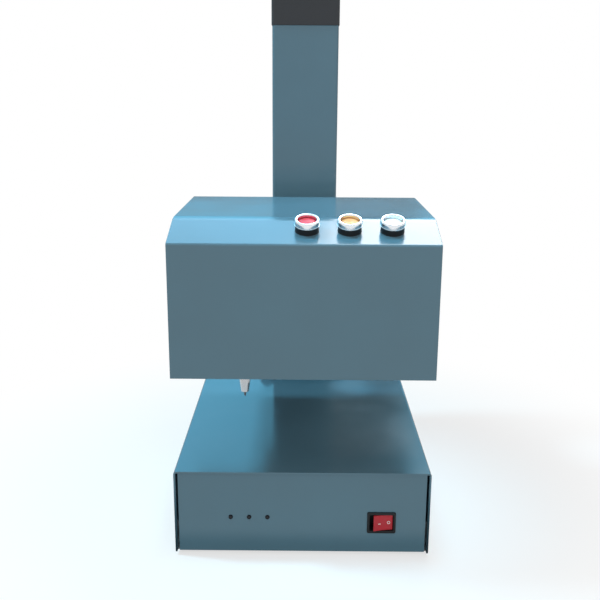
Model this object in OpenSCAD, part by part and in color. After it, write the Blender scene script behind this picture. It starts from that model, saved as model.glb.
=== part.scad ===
// Pneumatic dot peen marker: a bench machine that hammers a carbide pin into a workpiece.
// The marking head rides up and down a column on a crank-driven lead screw, and inside the head
// an X slider and a Y carriage move the pneumatic stylus over the marking window.
// Frame: origin at the middle of the footprint on the bench, X to the operator's right,
// Y to the rear, Z up. Millimetres.

/* [Base case] */
// Width of the base case
base_w = 285; // [256:1:330]
// Depth of the base case
base_d = 400; // [360:1:460]
// Height of the base case above its feet
base_h = 98; // [80:1:140]
// Thickness of the folded base cover
base_sheet = 2; // [1:0.1:3]
// Height of the rubber feet
foot_h = 4; // [2:0.5:12]
// How far the front panel sits behind the edge of the cover
panel_recess = 3; // [1:0.5:10]
// Dark gap between the front panel and the sides of the cover
panel_gap = 2.2; // [0.5:0.1:4]
// How far the rear panel sits inside the cover
rear_recess = 18; // [6:0.5:25]

/* [Column] */
// Width of the column
col_w = 88; // [80:1:110]
// Depth of the column
col_d = 62; // [54:1:80]
// Wall of the column tube
col_wall = 4; // [2:0.5:5]
// Length of the column between its foot and its cap
col_h = 482; // [420:2:620]
// Height of the black cap on the column
cap_h = 40; // [30:1:60]
// Diameter of the lift screw
lift_screw_dia = 16; // [12:1:20]
// Length of the crank arm, axis to axis
crank_r = 70; // [45:1:90]

/* [Marking head] */
// Width of the head cover
head_w = 285; // [256:1:310]
// Depth of the head cover
head_d = 230; // [226:1:260]
// Height of the lower edge of the head above the bench at rest
head_z = 210.5; // [180:0.5:300]
// Height of the front face of the head
head_front_h = 146.5; // [142:0.5:180]
// Rise of the sloping control panel
slope_rise = 19; // [10:0.5:30]
// Depth of the sloping control panel
slope_d = 55; // [48:1:80]
// Thickness of the folded head cover
head_sheet = 1.5; // [1:0.1:2.5]

/* [Marking motion] */
// Travel of the stylus from side to side
x_travel = 130; // [80:2:144]
// Travel of the stylus from front to back
y_travel = 80; // [40:2:84]
// Distance of the stylus axis behind the front of the head at rest
stylus_back = 40; // [37:0.5:48]
// How far the nozzle reaches below the head
nozzle_reach = 28.6; // [20:0.2:40]
// How far the pin tip reaches below the nozzle
pin_reach = 5.9; // [2.5:0.1:8]
// Diameter of the nozzle
nozzle_dia = 11.5; // [10:0.1:16]
// Diameter of the nozzle at its lower end
nozzle_end_dia = 8.7; // [7:0.1:9.9]
// Diameter of the carbide pin
pin_dia = 2.4; // [2:0.1:4]

/* [Push buttons] */
// Place of the first button to the right of the middle
button_x = 3; // [-20:1:20]
// Spacing of the buttons
button_pitch = 45; // [32:1:50]
// Distance of the buttons up the slope from its front edge
button_s = 30.3; // [20:0.2:45]
// Diameter of the chrome ring
ring_dia = 27.2; // [25:0.1:30]
// Height of the chrome ring above the black collar
ring_h = 7; // [6:0.1:12]
// Height of the black collar
collar_h = 6.8; // [4:0.1:9]
// Press stroke of each button
button_stroke = 3; // [1:0.1:4]

/* [Front panel] */
// Place of the power switch to the right of the middle
switch_x = 89; // [40:1:100]
// Height of the power switch above the bottom of the case
switch_z = 36.6; // [32:0.5:60]
// Place of the first indicator
led_x = -80; // [-105:1:-50]
// Spacing of the indicators
led_pitch = 20.6; // [10:0.1:30]
// Height of the indicators above the bottom of the case
led_z = 42.2; // [24:0.5:70]

/* [Hidden] */
$fn = 48;

// fits, on the diameter, and how far a cutter passes the face that it opens
run_fit = 0.2;
screw_fit = 0.4;
bolt_fit = 0.6;
cut = 1;
bend_steps = 12;

// base case
floor_t = 2;
panel_t = 2;
lip_t = 2;
lip_h = 18;
case_bend = 3;
flange_t = 2;
flange_h = 30;
flange_start = 14;
corner_relief = 6;
foot_dia = 22;
foot_inset_x = 28;
foot_inset_y = 32;
screw_d = 4;
screw_head_d = 7.6;
screw_head_h = 2.2;
screw_grip = 5;
case_screw_rise = 18;
case_screw_inset = 60;
case_x = base_w / 2;
y_front = -base_d / 2;
y_back = base_d / 2;
z_case = foot_h;
z_top = z_case + base_h;
z_roof = z_top - base_sheet;
z_floor = z_case + floor_t;
inside_x = case_x - base_sheet;
panel_x = inside_x - panel_gap;
panel_y = y_front + panel_recess;
panel_in = panel_y + panel_t;
rear_y = y_back - rear_recess;
rear_out = rear_y + panel_t;
case_screw_z = z_case + case_screw_rise;
case_screw_ys = [y_front + case_screw_inset, 0, y_back - case_screw_inset];

// power switch and indicators
switch_w = 28.8;
switch_h = 23.4;
bezel_rim_x = 1.6;
bezel_rim_z = 1.05;
bezel_t = 2;
switch_depth = 24;
switch_wall = 1.2;
pocket_depth = 16;
pivot_back = 7;
pivot_d = 3;
pivot_seat = 1;
rocker_fit = 0.3;
rocker_room = 2;
rocker_front = 9;
rocker_dish = 0.8;
rocker_cheek = 1.8;
rocker_heel = 3;
rocker_knee = 2;
rocker_tilt = 12;
lamp_d = 5;
lamp_dome_d = 4.8;
lamp_stand = 0.6;
lamp_flange_d = 6.4;
lamp_flange_t = 1.6;
lamp_tail = 5.4;

// services on the rear panel
service_rise = 40;
service_z = z_case + service_rise;
inlet_inset = 50.5;
inlet_x = -inside_x + inlet_inset;
inlet_w = 28;
inlet_h = 20;
inlet_wall = 2;
inlet_flange_w = 50;
inlet_flange_h = 24;
inlet_flange_t = 2.5;
inlet_depth = 20;
socket_depth = 12;
inlet_hole_d = 3.4;
inlet_hole_pitch = 40;
blade_w = 2;
blade_h = 4;
blade_len = 7;
blade_pitch = 7;
blade_drop = 2;
earth_rise = 3;
data_x = 25.5;
data_w = 19;
data_h = 12;
data_flange_w = 31;
data_flange_h = 13;
data_flange_t = 1;
data_shell_w = 17;
data_shell_h = 10;
data_shell_len = 5;
data_shell_wall = 1;
data_mouth = 5;
data_depth = 6;
air_inset = 42.5;
air_x = inside_x - air_inset;
air_thread_d = 9.6;
air_thread_len = 8;
air_hex_d = 17;
air_hex_h = 7;
air_body_d = 13;
air_body_h = 5;
air_collet_d = 11;
air_collet_h = 3;
air_tube_d = 8;
air_tube_stop = 2;
air_bore_d = 4;
vent_count = 7;
vent_w = 3;
vent_pitch = 8;
vent_h = 36;
vent_rise = 30;
vent_gap = 32;

// electronics and air supply inside the base
psu_side = 8.5;
psu_front = 120;
psu_w = 80;
psu_d = 110;
psu_h = 38;
psu_slot_w = 6;
psu_slot_pitch = 12;
psu_slot_inset = 8;
psu_slot_depth = 2;
psu_slot_margin = 30;
terminal_inset = 10;
terminal_d = 12;
terminal_rise = 6;
terminal_h = 14;
board_side = 40.5;
board_front = 70;
board_w = 110;
board_d = 90;
board_t = 1.6;
board_rise = 10;
stud_d = 6;
stud_tip_d = 3;
stud_inset = 4;
chip_w = 30;
chip_h = 3.4;
header_w = 12;
header_d = 70;
header_h = 10.4;
plug_w = 32;
plug_d = 10;
capacitor_d = 10;
capacitor_h = 16.4;
part_margin = 8;
driver_side = 24.5;
driver_gap = 20;
driver_w = 32;
driver_d = 80;
driver_h = 40;
driver_pitch = 44;
fin_w = 2;
fin_pitch = 6;
fin_depth = 16;
fin_inset = 3;
valve_w = 36;
valve_d = 30;
valve_h = 26;
valve_back = 44;
coil_w = 28;
coil_d = 26;
coil_h = 28;
port_d = 10;
port_len = 8;
port_bore = 5;
port_bore_len = 6;
board_x1 = inside_x - board_side;
board_x0 = board_x1 - board_w;
board_y0 = y_front + board_front;
board_y1 = board_y0 + board_d;
z_board = z_floor + board_rise;
z_board_top = z_board + board_t;
valve_y1 = rear_y - valve_back;

// column and its foot
col_back = 26;
col_round = 3;
inner_round = 1;
foot_t = 8;
foot_over_x = 18;
foot_over_y = 8;
foot_round = 6;
foot_cup_wall = 5;
bolt_d = 8;
bolt_over_x = 9;
bolt_in_y = 9;
bolt_head_d = 13;
bolt_head_h = 8;
bolt_key_d = 7;
bolt_key_h = 4;
bolt_grip = 12;
slot_w = 20;
slot_run = 24;
bearing_d = 32;
bearing_h = 10;
screw_step = 4;
screw_room = 2;
cap_over = 1;
cap_round = 4;
cap_plug = 12;
pedestal_t = 8;
pedestal_leg = 4;
pedestal_back = 9;
col_y = y_back - col_back - col_d / 2;
z_foot = z_top + foot_t;
z_cap = z_foot + col_h;
z_cap_top = z_cap + cap_h;
foot_x = col_w / 2 + foot_over_x;
foot_y = col_d / 2 + foot_over_y;
bolt_x = col_w / 2 + bolt_over_x;
bolt_y = col_d / 2 - bolt_in_y;
journal_d = lift_screw_dia - screw_step;

// crank on top of the column
crank_gap = 1;
hub_d = 30;
hub_h = 16;
arm_gap = 4;
crank_arm_w = 16;
crank_arm_t = 10;
pin_shaft_d = 10;
pin_shaft_h = 72;
pin_head_d = 16;
pin_head_h = 3;
grip_gap = 1;
grip_d = 22;
grip_h = 55;
grip_belly_d = 26;
grip_belly_h = 30;
grip_belly_rise = 15;
grip_end_d = 19;
grip_end_h = 5.6;
z_hub = z_cap_top + crank_gap;
z_arm = z_cap_top + arm_gap;
z_grip = z_arm + crank_arm_t + grip_gap;

// carriage on the column
pad_gap = 0.3;
pad_t = 1.7;
pad_h = 30;
pad_end = 4;
pad_side_half = 22;
pad_front_inset = 10;
pad_rear_inset = 6;
pad_slot_gap = 4;
sleeve_wall = 12;
sleeve_rise = 40.5;
sleeve_h = 100;
sleeve_round = 4;
nut_wall = 6;
nut_flange = 8;
nut_flange_h = 7;
nut_tail = 6;
nut_arm_w = 18;
nut_arm_h = 16;
nut_screw_x = 5.5;
nut_screw_d = 4;
nut_screw_head_d = 7;
nut_screw_head_h = 4;
nut_screw_len = 10;
nut_screw_end = 1;
lift_floor = 1;
lift_head_room = 41;
knob_d = 38;
knob_h = 16;
knob_stem_d = 18;
knob_stem_h = 12;
knob_gap = 0.4;
knob_tip_gap = 0.5;
knob_shaft_d = 10;
knob_groove_d = 9;
knob_groove_r = 20;
sleeve_in_x = col_w / 2 + pad_gap + pad_t;
sleeve_in_y = col_d / 2 + pad_gap + pad_t;
sleeve_x = sleeve_in_x + sleeve_wall;
sleeve_y = sleeve_in_y + sleeve_wall;
z_sleeve = head_z + sleeve_rise;
z_sleeve_top = z_sleeve + sleeve_h;
z_mid = z_sleeve + sleeve_h / 2;
z_arm_low = z_mid - nut_arm_h / 2;
z_arm_high = z_mid + nut_arm_h / 2;
nut_d = lift_screw_dia + 2 * nut_wall;
nut_eye_d = nut_d + 2 * nut_flange;

// frame and cover of the marking head
front_bend = 2;
top_bend = 7;
back_t = 8;
back_inset = 2;
back_rise = 5.5;
back_drop = 7.5;
side_t = 5;
side_rise = 15.5;
side_drop = 17;
front_gap = 8;
front_t = 8;
front_rise = 21.5;
front_over = 10;
head_screw_front = 50;
head_screw_back = 20;
head_screw_low = 29.5;
head_screw_high = 27;
head_screw_end = 0.5;
bracket_t = 10;
bracket_web = 10;
bracket_over = 18;
bracket_foot = 8;
bracket_inset = 6;
bracket_screw_over = 9;
bracket_screw_in = 16;
bracket_screw_z = 32;
bracket_screw_d = 6;
bracket_head_d = 10;
bracket_head_h = 6;
bracket_screw_grip = 10;
bracket_screw_end = 1;
head_x = head_w / 2;
head_in_x = head_x - head_sheet;
head_y1 = y_front + head_d;
slope_a = atan(slope_rise / slope_d);
z_shoulder = head_z + head_front_h;
z_head_top = z_shoulder + slope_rise;
back_y1 = head_y1 - back_inset;
back_y0 = back_y1 - back_t;
side_x = head_in_x - side_t;
front_y0 = y_front + front_gap;
front_y1 = front_y0 + front_t;
z_side0 = head_z + side_rise;
z_side1 = z_shoulder - side_drop;
head_screw_ys = [y_front + head_screw_front, back_y0 - head_screw_back];
head_screw_zs = [head_z + head_screw_low, z_shoulder - head_screw_high];
bracket_x = col_w / 2;
bracket_y1 = col_y - sleeve_y;
bracket_screw_out = bracket_x + bracket_screw_over;
bracket_screw_mid = bracket_x - bracket_screw_in;

// marking motion inside the head
block_side = 24;
block_w = 32;
block_d = 40;
block_rise = 23.5;
block_h = 94;
rods_back = 30;
rod_seat = 8;
y_rod_d = 10;
y_rod_rise = 101.5;
y_rod_end = 2;
stop_d = 14;
stop_w = 8;
stop_gap = 0.5;
x_rod_d = 8;
x_rod_low = 41.5;
x_rod_high = 85.5;
belt_rise = 67.5;
pulley_d = 12;
pulley_flange_d = 17;
pulley_flange_t = 1.2;
pulley_gap = 0.5;
axle_d = 5;
axle_end = 3;
axle_hole_d = 6;
belt_gap = 0.2;
belt_t = 1.3;
belt_w = 6;
belt_back = 4;
motor_w = 42;
motor_boss_d = 22;
motor_boss_h = 2;
motor_bore = 6;
x_motor_len = 30;
y_motor_len = 34;
y_bracket_t = 6;
y_bracket_over = 1;
y_bracket_side = 2;
y_screw_d = 8;
y_screw_rise = 32.5;
y_screw_room = 1;
y_screw_grip = 5;
y_screw_inset = 1;
y_nut_d = 14;
y_nut_len = 24;
y_nut_flange_d = 20;
y_nut_flange_t = 4;
slider_w = 32;
slider_half_d = 12;
slider_rise = 30;
slider_h = 68;
clamp_w = 30;
clamp_rise = 24;
clamp_h = 30;
clamp_front = 15;
belt_clamp_w = 20;
belt_clamp_low = 3;
belt_clamp_high = 8;
belt_slot = 0.2;
belt_slot_front = 0.3;
stylus_x = -x_travel / 2;
stylus_y = y_front + stylus_back;
rods_y = stylus_y + rods_back;
block_y0 = rods_y - block_d / 2;
block_y1 = rods_y + block_d / 2;
block_x = side_x - block_side;
block_x0 = block_x - block_w / 2;
block_x1 = block_x + block_w / 2;
z_block = head_z + block_rise;
y_rod_z = head_z + y_rod_rise;
x_rod_zs = [head_z + x_rod_low, head_z + x_rod_high];
belt_z = head_z + belt_rise;
belt_y0 = block_y1 + belt_back;
belt_y1 = belt_y0 + belt_w;
belt_r = pulley_d / 2 + belt_gap;
y_motor_y0 = back_y0 - y_motor_len;
y_screw_z = head_z + y_screw_rise;
y_bracket_half = motor_w / 2 + y_bracket_over;

// stylus
cone_h = 11.6;
spring_rise = 8.1;
body_rise = 17.1;
nozzle_seat = 7;
piston_rise = 22.1;
piston_h = 16;
piston_room = 30;
body_d = 22;
body_over = 71.5;
body_flange = 4;
body_flange_h = 3;
nozzle_wall = 1.15;
air_hole_d = 4;
pin_stroke = 5;
tip_d = 0.4;
tip_h = 2.2;
spring_gap = 0.6;
spring_room = 2;
elbow_d = 12;
elbow_h = 18;
elbow_len = 18;
elbow_rise = 11;
elbow_bore = 6;
z_nozzle = head_z - nozzle_reach;
z_tip = z_nozzle - pin_reach;
z_cone = z_nozzle + cone_h;
z_spring = z_nozzle + spring_rise;
z_body = z_nozzle + body_rise;
z_nozzle_top = z_body + nozzle_seat;
z_piston = z_nozzle + piston_rise;
z_body_top = head_z + body_over;
z_clamp = head_z + clamp_rise;
piston_d = nozzle_dia - 2 * nozzle_wall - run_fit;
lift_down = z_tip - z_top - pin_stroke - lift_floor;
lift_up = z_cap - z_sleeve_top - lift_head_room;

// push buttons
barrel_d = 22;
barrel_h = 26;
barrel_nut_d = 28;
barrel_nut_h = 4;
collar_step = 1.9;
ring_wall = 3.4;
button_fit = 0.4;
stem_step = 1.6;
stem_low = 2.4;
stem_room = 0.6;
face_low = 3.5;
skirt = 0.8;
skirt_room = 0.3;
collar_d = ring_dia - collar_step;
cap_bore = ring_dia - 2 * ring_wall;
cap_d = cap_bore - button_fit;
stem_d = cap_d - stem_step;

// box between two corners
module block(x0, x1, y0, y1, z0, z1) {
  translate([x0, y0, z0]) cube([x1 - x0, y1 - y0, z1 - z0]);
}

// rod along each axis, from a start to an end
module rod_x(d, x0, x1, y, z) {
  translate([x0, y, z]) rotate([0, 90, 0]) cylinder(d = d, h = x1 - x0);
}

module rod_y(d, x, y0, y1, z) {
  translate([x, y0, z]) rotate([-90, 0, 0]) cylinder(d = d, h = y1 - y0);
}

module rod_z(d, x, y, z0, z1) {
  translate([x, y, z0]) cylinder(d = d, h = z1 - z0);
}

// rectangle with true round corners
module soft_rect(w, d, r) {
  square([w - 2 * r, d], center = true);
  square([w, d - 2 * r], center = true);
  for (sx = [-1, 1])
    for (sy = [-1, 1])
      translate([sx * (w / 2 - r), sy * (d / 2 - r)]) circle(r = r);
}

// both sides of the machine
module both_sides() {
  children();
  mirror([1, 0, 0]) children();
}

// profile in the plane of Y and Z, drawn out along X
module along_x(x0, x1) {
  translate([x0, 0, 0]) rotate([90, 0, 90]) linear_extrude(height = x1 - x0) children();
}

// profile in the plane of X and Z, drawn out along Y
module along_y(y0, y1) {
  translate([0, y1, 0]) rotate([90, 0, 0]) linear_extrude(height = y1 - y0) children();
}

function unit(v) = v / norm(v);

// points along one bend, from the side before the corner to the side after it
function bend_points(p, before, after, half, r) =
  let (middle = p + unit(before + after) * r / sin(half),
       first = unit(p + before * r / tan(half) - middle),
       last = unit(p + after * r / tan(half) - middle),
       turn = 180 - 2 * half)
  [for (s = [0:bend_steps])
    middle + r * unit(first * sin(turn * (1 - s / bend_steps)) + last * sin(turn * s / bend_steps))];

// outline of a folded sheet, rounded at each corner that has a bend radius
module bent_outline(points, bends) {
  n = len(points);
  before = [for (i = [0:n - 1]) unit(points[(i + n - 1) % n] - points[i])];
  after = [for (i = [0:n - 1]) unit(points[(i + 1) % n] - points[i])];
  half = [for (i = [0:n - 1]) acos(before[i] * after[i]) / 2];
  polygon([for (i = [0:n - 1])
    each bends[i] > 0 ? bend_points(points[i], before[i], after[i], half[i], bends[i]) : [points[i]]]);
}

// the four bolts of the column foot
module at_bolts() {
  for (x = [-bolt_x, bolt_x])
    for (y = [-bolt_y, bolt_y])
      translate([x, col_y + y, 0]) children();
}

// the screws of the head bracket, at a distance to each side
module at_bracket_screws(x) {
  for (sx = [-x, x])
    for (z = [-bracket_screw_z, bracket_screw_z])
      translate([sx, 0, z_mid + z]) children();
}

// place of one push button, with its axis square to the sloping panel
module at_button(i) {
  translate([button_x + i * button_pitch,
             y_front + button_s * cos(slope_a),
             z_shoulder + button_s * sin(slope_a)])
    rotate([slope_a, 0, 0]) children();
}

// case of the base

module base_cover() {
  color([0.33, 0.47, 0.54])
  difference() {
    along_y(y_front, y_back)
      bent_outline([[-case_x, z_case], [-case_x, z_top], [case_x, z_top], [case_x, z_case]],
                   [0, case_bend, case_bend, 0]);
    block(-inside_x, inside_x, y_front - cut, y_back + cut, z_case - cut, z_roof);
    for (y = case_screw_ys)
      rod_x(screw_d + screw_fit, -case_x - cut, case_x + cut, y, case_screw_z);
    at_bolts() rod_z(bolt_d + bolt_fit, 0, 0, z_roof - cut, z_top + cut);
  }
}

module chassis_tray() {
  color([0.72, 0.74, 0.75])
  difference() {
    union() {
      block(-inside_x, inside_x, panel_in, rear_y, z_case, z_floor);
      block(-panel_x, panel_x, panel_in, panel_in + lip_t, z_case, z_case + lip_h);
      block(-inside_x + flange_t, inside_x - flange_t, rear_y - lip_t, rear_y, z_case, z_case + lip_h);
      both_sides()
        block(inside_x - flange_t, inside_x, panel_y + flange_start, rear_y - lip_t - corner_relief,
              z_case, z_case + flange_h);
      at_studs() {
        rod_z(stud_d, 0, 0, z_floor, z_board);
        rod_z(stud_tip_d, 0, 0, z_board, z_board_top);
      }
    }
    for (y = case_screw_ys)
      rod_x(screw_d, -inside_x - cut, inside_x + cut, y, case_screw_z);
  }
}

// studs pressed into the floor, which carry the control board
module at_studs() {
  for (x = [board_x0 + stud_inset, board_x1 - stud_inset])
    for (y = [board_y0 + stud_inset, board_y1 - stud_inset])
      translate([x, y, 0]) children();
}

// opening in a panel of the case, around a middle
module panel_opening(x, z, w, h, y) {
  block(x - w / 2, x + w / 2, y - cut, y + panel_t + cut, z - h / 2, z + h / 2);
}

module front_panel() {
  color([0.30, 0.41, 0.47])
  difference() {
    block(-panel_x, panel_x, panel_y, panel_in, z_case, z_roof);
    panel_opening(switch_x, z_case + switch_z, switch_w, switch_h, panel_y);
    for (i = [0:2])
      rod_y(lamp_d, led_x + i * led_pitch, panel_y - cut, panel_in + cut, z_case + led_z);
  }
}

module rear_panel() {
  color([0.30, 0.41, 0.47])
  difference() {
    block(-inside_x, inside_x, rear_y, rear_out, z_case, z_roof);
    panel_opening(inlet_x, service_z, inlet_w, inlet_h, rear_y);
    panel_opening(data_x, service_z, data_w, data_h, rear_y);
    rod_y(air_thread_d, air_x, rear_y - cut, rear_out + cut, service_z);
    for (i = [0:vent_count - 1])
      translate([inlet_x + vent_gap + i * vent_pitch, 0, 0])
        block(0, vent_w, rear_y - cut, rear_out + cut, z_case + vent_rise, z_case + vent_rise + vent_h);
  }
}

module rubber_feet() {
  color([0.10, 0.10, 0.11])
  both_sides()
    for (y = [y_front + foot_inset_y, y_back - foot_inset_y])
      rod_z(foot_dia, case_x - foot_inset_x, y, 0, foot_h);
}

module cover_screws() {
  color([0.70, 0.71, 0.72])
  both_sides()
    for (y = case_screw_ys) {
      rod_x(screw_head_d, case_x, case_x + screw_head_h, y, case_screw_z);
      rod_x(screw_d, inside_x - screw_grip, case_x, y, case_screw_z);
    }
}

// controls on the front panel

module power_switch_housing() {
  bezel_w = switch_w + 2 * bezel_rim_x;
  bezel_h = switch_h + 2 * bezel_rim_z;
  pocket_w = switch_w - 2 * switch_wall;
  pocket_h = switch_h - 2 * switch_wall;
  color([0.08, 0.08, 0.09])
  translate([switch_x, panel_y, z_case + switch_z])
    difference() {
      union() {
        block(-bezel_w / 2, bezel_w / 2, -bezel_t, 0, -bezel_h / 2, bezel_h / 2);
        block(-switch_w / 2, switch_w / 2, 0, switch_depth, -switch_h / 2, switch_h / 2);
      }
      block(-pocket_w / 2, pocket_w / 2, -bezel_t - cut, pocket_depth, -pocket_h / 2, pocket_h / 2);
      rod_z(pivot_d + run_fit, 0, pivot_back, -pocket_h / 2 - pivot_seat, pocket_h / 2 + pivot_seat);
    }
}

module power_switch_rocker() {
  half = switch_w / 2 - switch_wall - rocker_room;
  tall = switch_h - 2 * switch_wall - 2 * rocker_fit;
  axle = switch_h - 2 * switch_wall + 2 * pivot_seat - 2 * run_fit;
  color([0.62, 0.10, 0.12])
  translate([switch_x, panel_y + pivot_back, z_case + switch_z]) rotate([0, 0, rocker_tilt]) {
    translate([0, 0, -tall / 2]) linear_extrude(height = tall)
      polygon([[-half, -rocker_front], [0, rocker_dish - rocker_front], [half, -rocker_front],
               [half - rocker_cheek, -rocker_knee], [rocker_heel, rocker_heel],
               [-rocker_heel, rocker_heel], [rocker_cheek - half, -rocker_knee]]);
    translate([0, 0, -axle / 2]) cylinder(d = pivot_d, h = axle);
  }
}

module indicator_lamps() {
  color([0.16, 0.05, 0.06])
  for (i = [0:2])
    translate([led_x + i * led_pitch, panel_y, z_case + led_z]) {
      rod_y(lamp_d, 0, 0, panel_t, 0);
      rod_y(lamp_dome_d, 0, -lamp_stand, 0, 0);
      translate([0, -lamp_stand, 0]) sphere(d = lamp_dome_d);
      rod_y(lamp_flange_d, 0, panel_t, panel_t + lamp_flange_t, 0);
      rod_y(lamp_dome_d, 0, panel_t + lamp_flange_t, panel_t + lamp_flange_t + lamp_tail, 0);
    }
}

// services on the rear panel

module power_inlet() {
  mouth_w = inlet_w - 2 * inlet_wall;
  mouth_h = inlet_h - 2 * inlet_wall;
  color([0.09, 0.09, 0.10])
  translate([inlet_x, rear_y, service_z])
    difference() {
      union() {
        block(-inlet_flange_w / 2, inlet_flange_w / 2, panel_t, panel_t + inlet_flange_t,
              -inlet_flange_h / 2, inlet_flange_h / 2);
        block(-inlet_w / 2, inlet_w / 2, -inlet_depth, panel_t, -inlet_h / 2, inlet_h / 2);
      }
      difference() {
        block(-mouth_w / 2, mouth_w / 2, -socket_depth, panel_t + inlet_flange_t + cut,
              -mouth_h / 2, mouth_h / 2);
        for (p = [[-blade_pitch, -blade_drop], [0, earth_rise], [blade_pitch, -blade_drop]])
          block(p[0] - blade_w / 2, p[0] + blade_w / 2, -socket_depth - cut, blade_len - socket_depth,
                p[1] - blade_h / 2, p[1] + blade_h / 2);
      }
      for (x = [-inlet_hole_pitch / 2, inlet_hole_pitch / 2])
        rod_y(inlet_hole_d, x, panel_t + cut, panel_t + inlet_flange_t + cut, 0);
    }
}

module air_inlet_fitting() {
  y_body = panel_t + air_hex_h;
  y_collet = y_body + air_body_h;
  y_end = y_collet + air_collet_h;
  color([0.75, 0.63, 0.36])
  translate([air_x, rear_y, service_z])
    difference() {
      union() {
        translate([0, panel_t, 0]) rotate([-90, 0, 0]) cylinder(d = air_hex_d, h = air_hex_h, $fn = 6);
        rod_y(air_body_d, 0, y_body, y_collet, 0);
        rod_y(air_collet_d, 0, y_collet, y_end, 0);
        rod_y(air_thread_d, 0, -air_thread_len, panel_t, 0);
      }
      rod_y(air_tube_d, 0, panel_t + air_tube_stop, y_end + cut, 0);
      rod_y(air_bore_d, 0, -air_thread_len - cut, panel_t + air_tube_stop + cut, 0);
    }
}

module data_connector() {
  y_flange = panel_t + data_flange_t;
  y_end = y_flange + data_shell_len;
  mouth_w = data_shell_w - 2 * data_shell_wall;
  mouth_h = data_shell_h - 2 * data_shell_wall;
  color([0.62, 0.64, 0.66])
  translate([data_x, rear_y, service_z])
    difference() {
      union() {
        block(-data_flange_w / 2, data_flange_w / 2, panel_t, y_flange, -data_flange_h / 2, data_flange_h / 2);
        block(-data_shell_w / 2, data_shell_w / 2, y_flange, y_end, -data_shell_h / 2, data_shell_h / 2);
        block(-data_w / 2, data_w / 2, -data_depth, panel_t, -data_h / 2, data_h / 2);
      }
      block(-mouth_w / 2, mouth_w / 2, y_end - data_mouth, y_end + cut, -mouth_h / 2, mouth_h / 2);
    }
}

// electronics and air supply inside the base

module power_supply() {
  color([0.70, 0.72, 0.73])
  translate([-inside_x + psu_side, y_front + psu_front, z_floor])
    difference() {
      union() {
        cube([psu_w, psu_d, psu_h]);
        block(terminal_inset, psu_w - terminal_inset, -terminal_d, 0,
              terminal_rise, terminal_rise + terminal_h);
      }
      for (x = [psu_slot_inset : psu_slot_pitch : psu_w - psu_slot_inset - psu_slot_w / 2])
        block(x, x + psu_slot_w, psu_slot_margin, psu_d - psu_slot_margin, psu_h - psu_slot_depth, psu_h + cut);
    }
}

module control_board() {
  color([0.08, 0.30, 0.18])
  difference() {
    union() {
      block(board_x0, board_x1, board_y0, board_y1, z_board, z_board_top);
      translate([(board_x0 + board_x1) / 2, (board_y0 + board_y1) / 2, z_board_top])
        block(-chip_w / 2, chip_w / 2, -chip_w / 2, chip_w / 2, 0, chip_h);
      translate([board_x0 + stud_inset, (board_y0 + board_y1) / 2, z_board_top])
        block(0, header_w, -header_d / 2, header_d / 2, 0, header_h);
      translate([board_x1 - part_margin - plug_w, board_y0 + stud_inset, z_board_top])
        block(0, plug_w, 0, plug_d, 0, header_h);
      for (i = [2, 3])
        rod_z(capacitor_d, board_x1 - i * (capacitor_d + stud_inset), board_y1 - 2 * capacitor_d,
              z_board_top, z_board_top + capacitor_h);
    }
    at_studs() rod_z(stud_tip_d, 0, 0, z_board - cut, z_board_top + header_h + cut);
  }
}

module motor_drivers() {
  color([0.12, 0.13, 0.14])
  for (i = [0, 1])
    translate([inside_x - driver_side - driver_w - i * driver_pitch, board_y1 + driver_gap, z_floor])
      difference() {
        cube([driver_w, driver_d, driver_h]);
        for (x = [fin_inset : fin_pitch : driver_w - fin_inset - fin_w / 2])
          block(x, x + fin_w, -cut, driver_d + cut, driver_h - fin_depth, driver_h + cut);
      }
}

module solenoid_valve() {
  color([0.20, 0.22, 0.25])
  translate([air_x, valve_y1, z_floor])
    difference() {
      union() {
        block(-valve_w / 2, valve_w / 2, -valve_d, 0, 0, valve_h);
        translate([0, -valve_d / 2, valve_h])
          block(-coil_w / 2, coil_w / 2, -coil_d / 2, coil_d / 2, 0, coil_h);
        rod_y(port_d, 0, 0, port_len, valve_h / 2);
      }
      rod_y(port_bore, 0, port_len - port_bore_len, port_len + cut, valve_h / 2);
    }
}

// column and lift

module column_pedestal() {
  y0 = col_y - foot_y + foot_round;
  y1 = col_y + bolt_y + pedestal_back;
  color([0.45, 0.47, 0.49])
  difference() {
    union() {
      block(-foot_x, foot_x, y0, y1, z_roof - pedestal_t, z_roof);
      both_sides() block(foot_x - pedestal_leg, foot_x, y0, y1, z_floor, z_roof - pedestal_t);
    }
    at_bolts() rod_z(bolt_d, 0, 0, z_roof - pedestal_t - cut, z_roof + cut);
  }
}

module column_foot() {
  color([0.20, 0.21, 0.22])
  difference() {
    union() {
      translate([0, col_y, z_top]) linear_extrude(height = foot_t)
        soft_rect(2 * foot_x, 2 * foot_y, foot_round);
      rod_z(bearing_d + 2 * foot_cup_wall, 0, col_y, z_foot, z_foot + bearing_h);
    }
    rod_z(bearing_d, 0, col_y, z_foot, z_foot + bearing_h + cut);
    at_bolts() rod_z(bolt_d + bolt_fit, 0, 0, z_top - cut, z_foot + cut);
  }
}

module foot_bolts() {
  color([0.15, 0.15, 0.16])
  at_bolts()
    difference() {
      union() {
        rod_z(bolt_head_d, 0, 0, z_foot, z_foot + bolt_head_h);
        rod_z(bolt_d, 0, 0, z_roof - bolt_grip, z_foot);
      }
      translate([0, 0, z_foot + bolt_head_h - bolt_key_h])
        cylinder(d = bolt_key_d, h = bolt_key_h + cut, $fn = 6);
    }
}

module column_tube() {
  color([0.33, 0.46, 0.51])
  difference() {
    translate([0, col_y, z_foot]) linear_extrude(height = col_h) difference() {
      soft_rect(col_w, col_d, col_round);
      soft_rect(col_w - 2 * col_wall, col_d - 2 * col_wall, inner_round);
    }
    block(-slot_w / 2, slot_w / 2, col_y + col_d / 2 - col_wall - cut, col_y + col_d / 2 + cut,
          z_mid - lift_down - slot_run, z_mid + lift_up + slot_run);
  }
}

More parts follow.
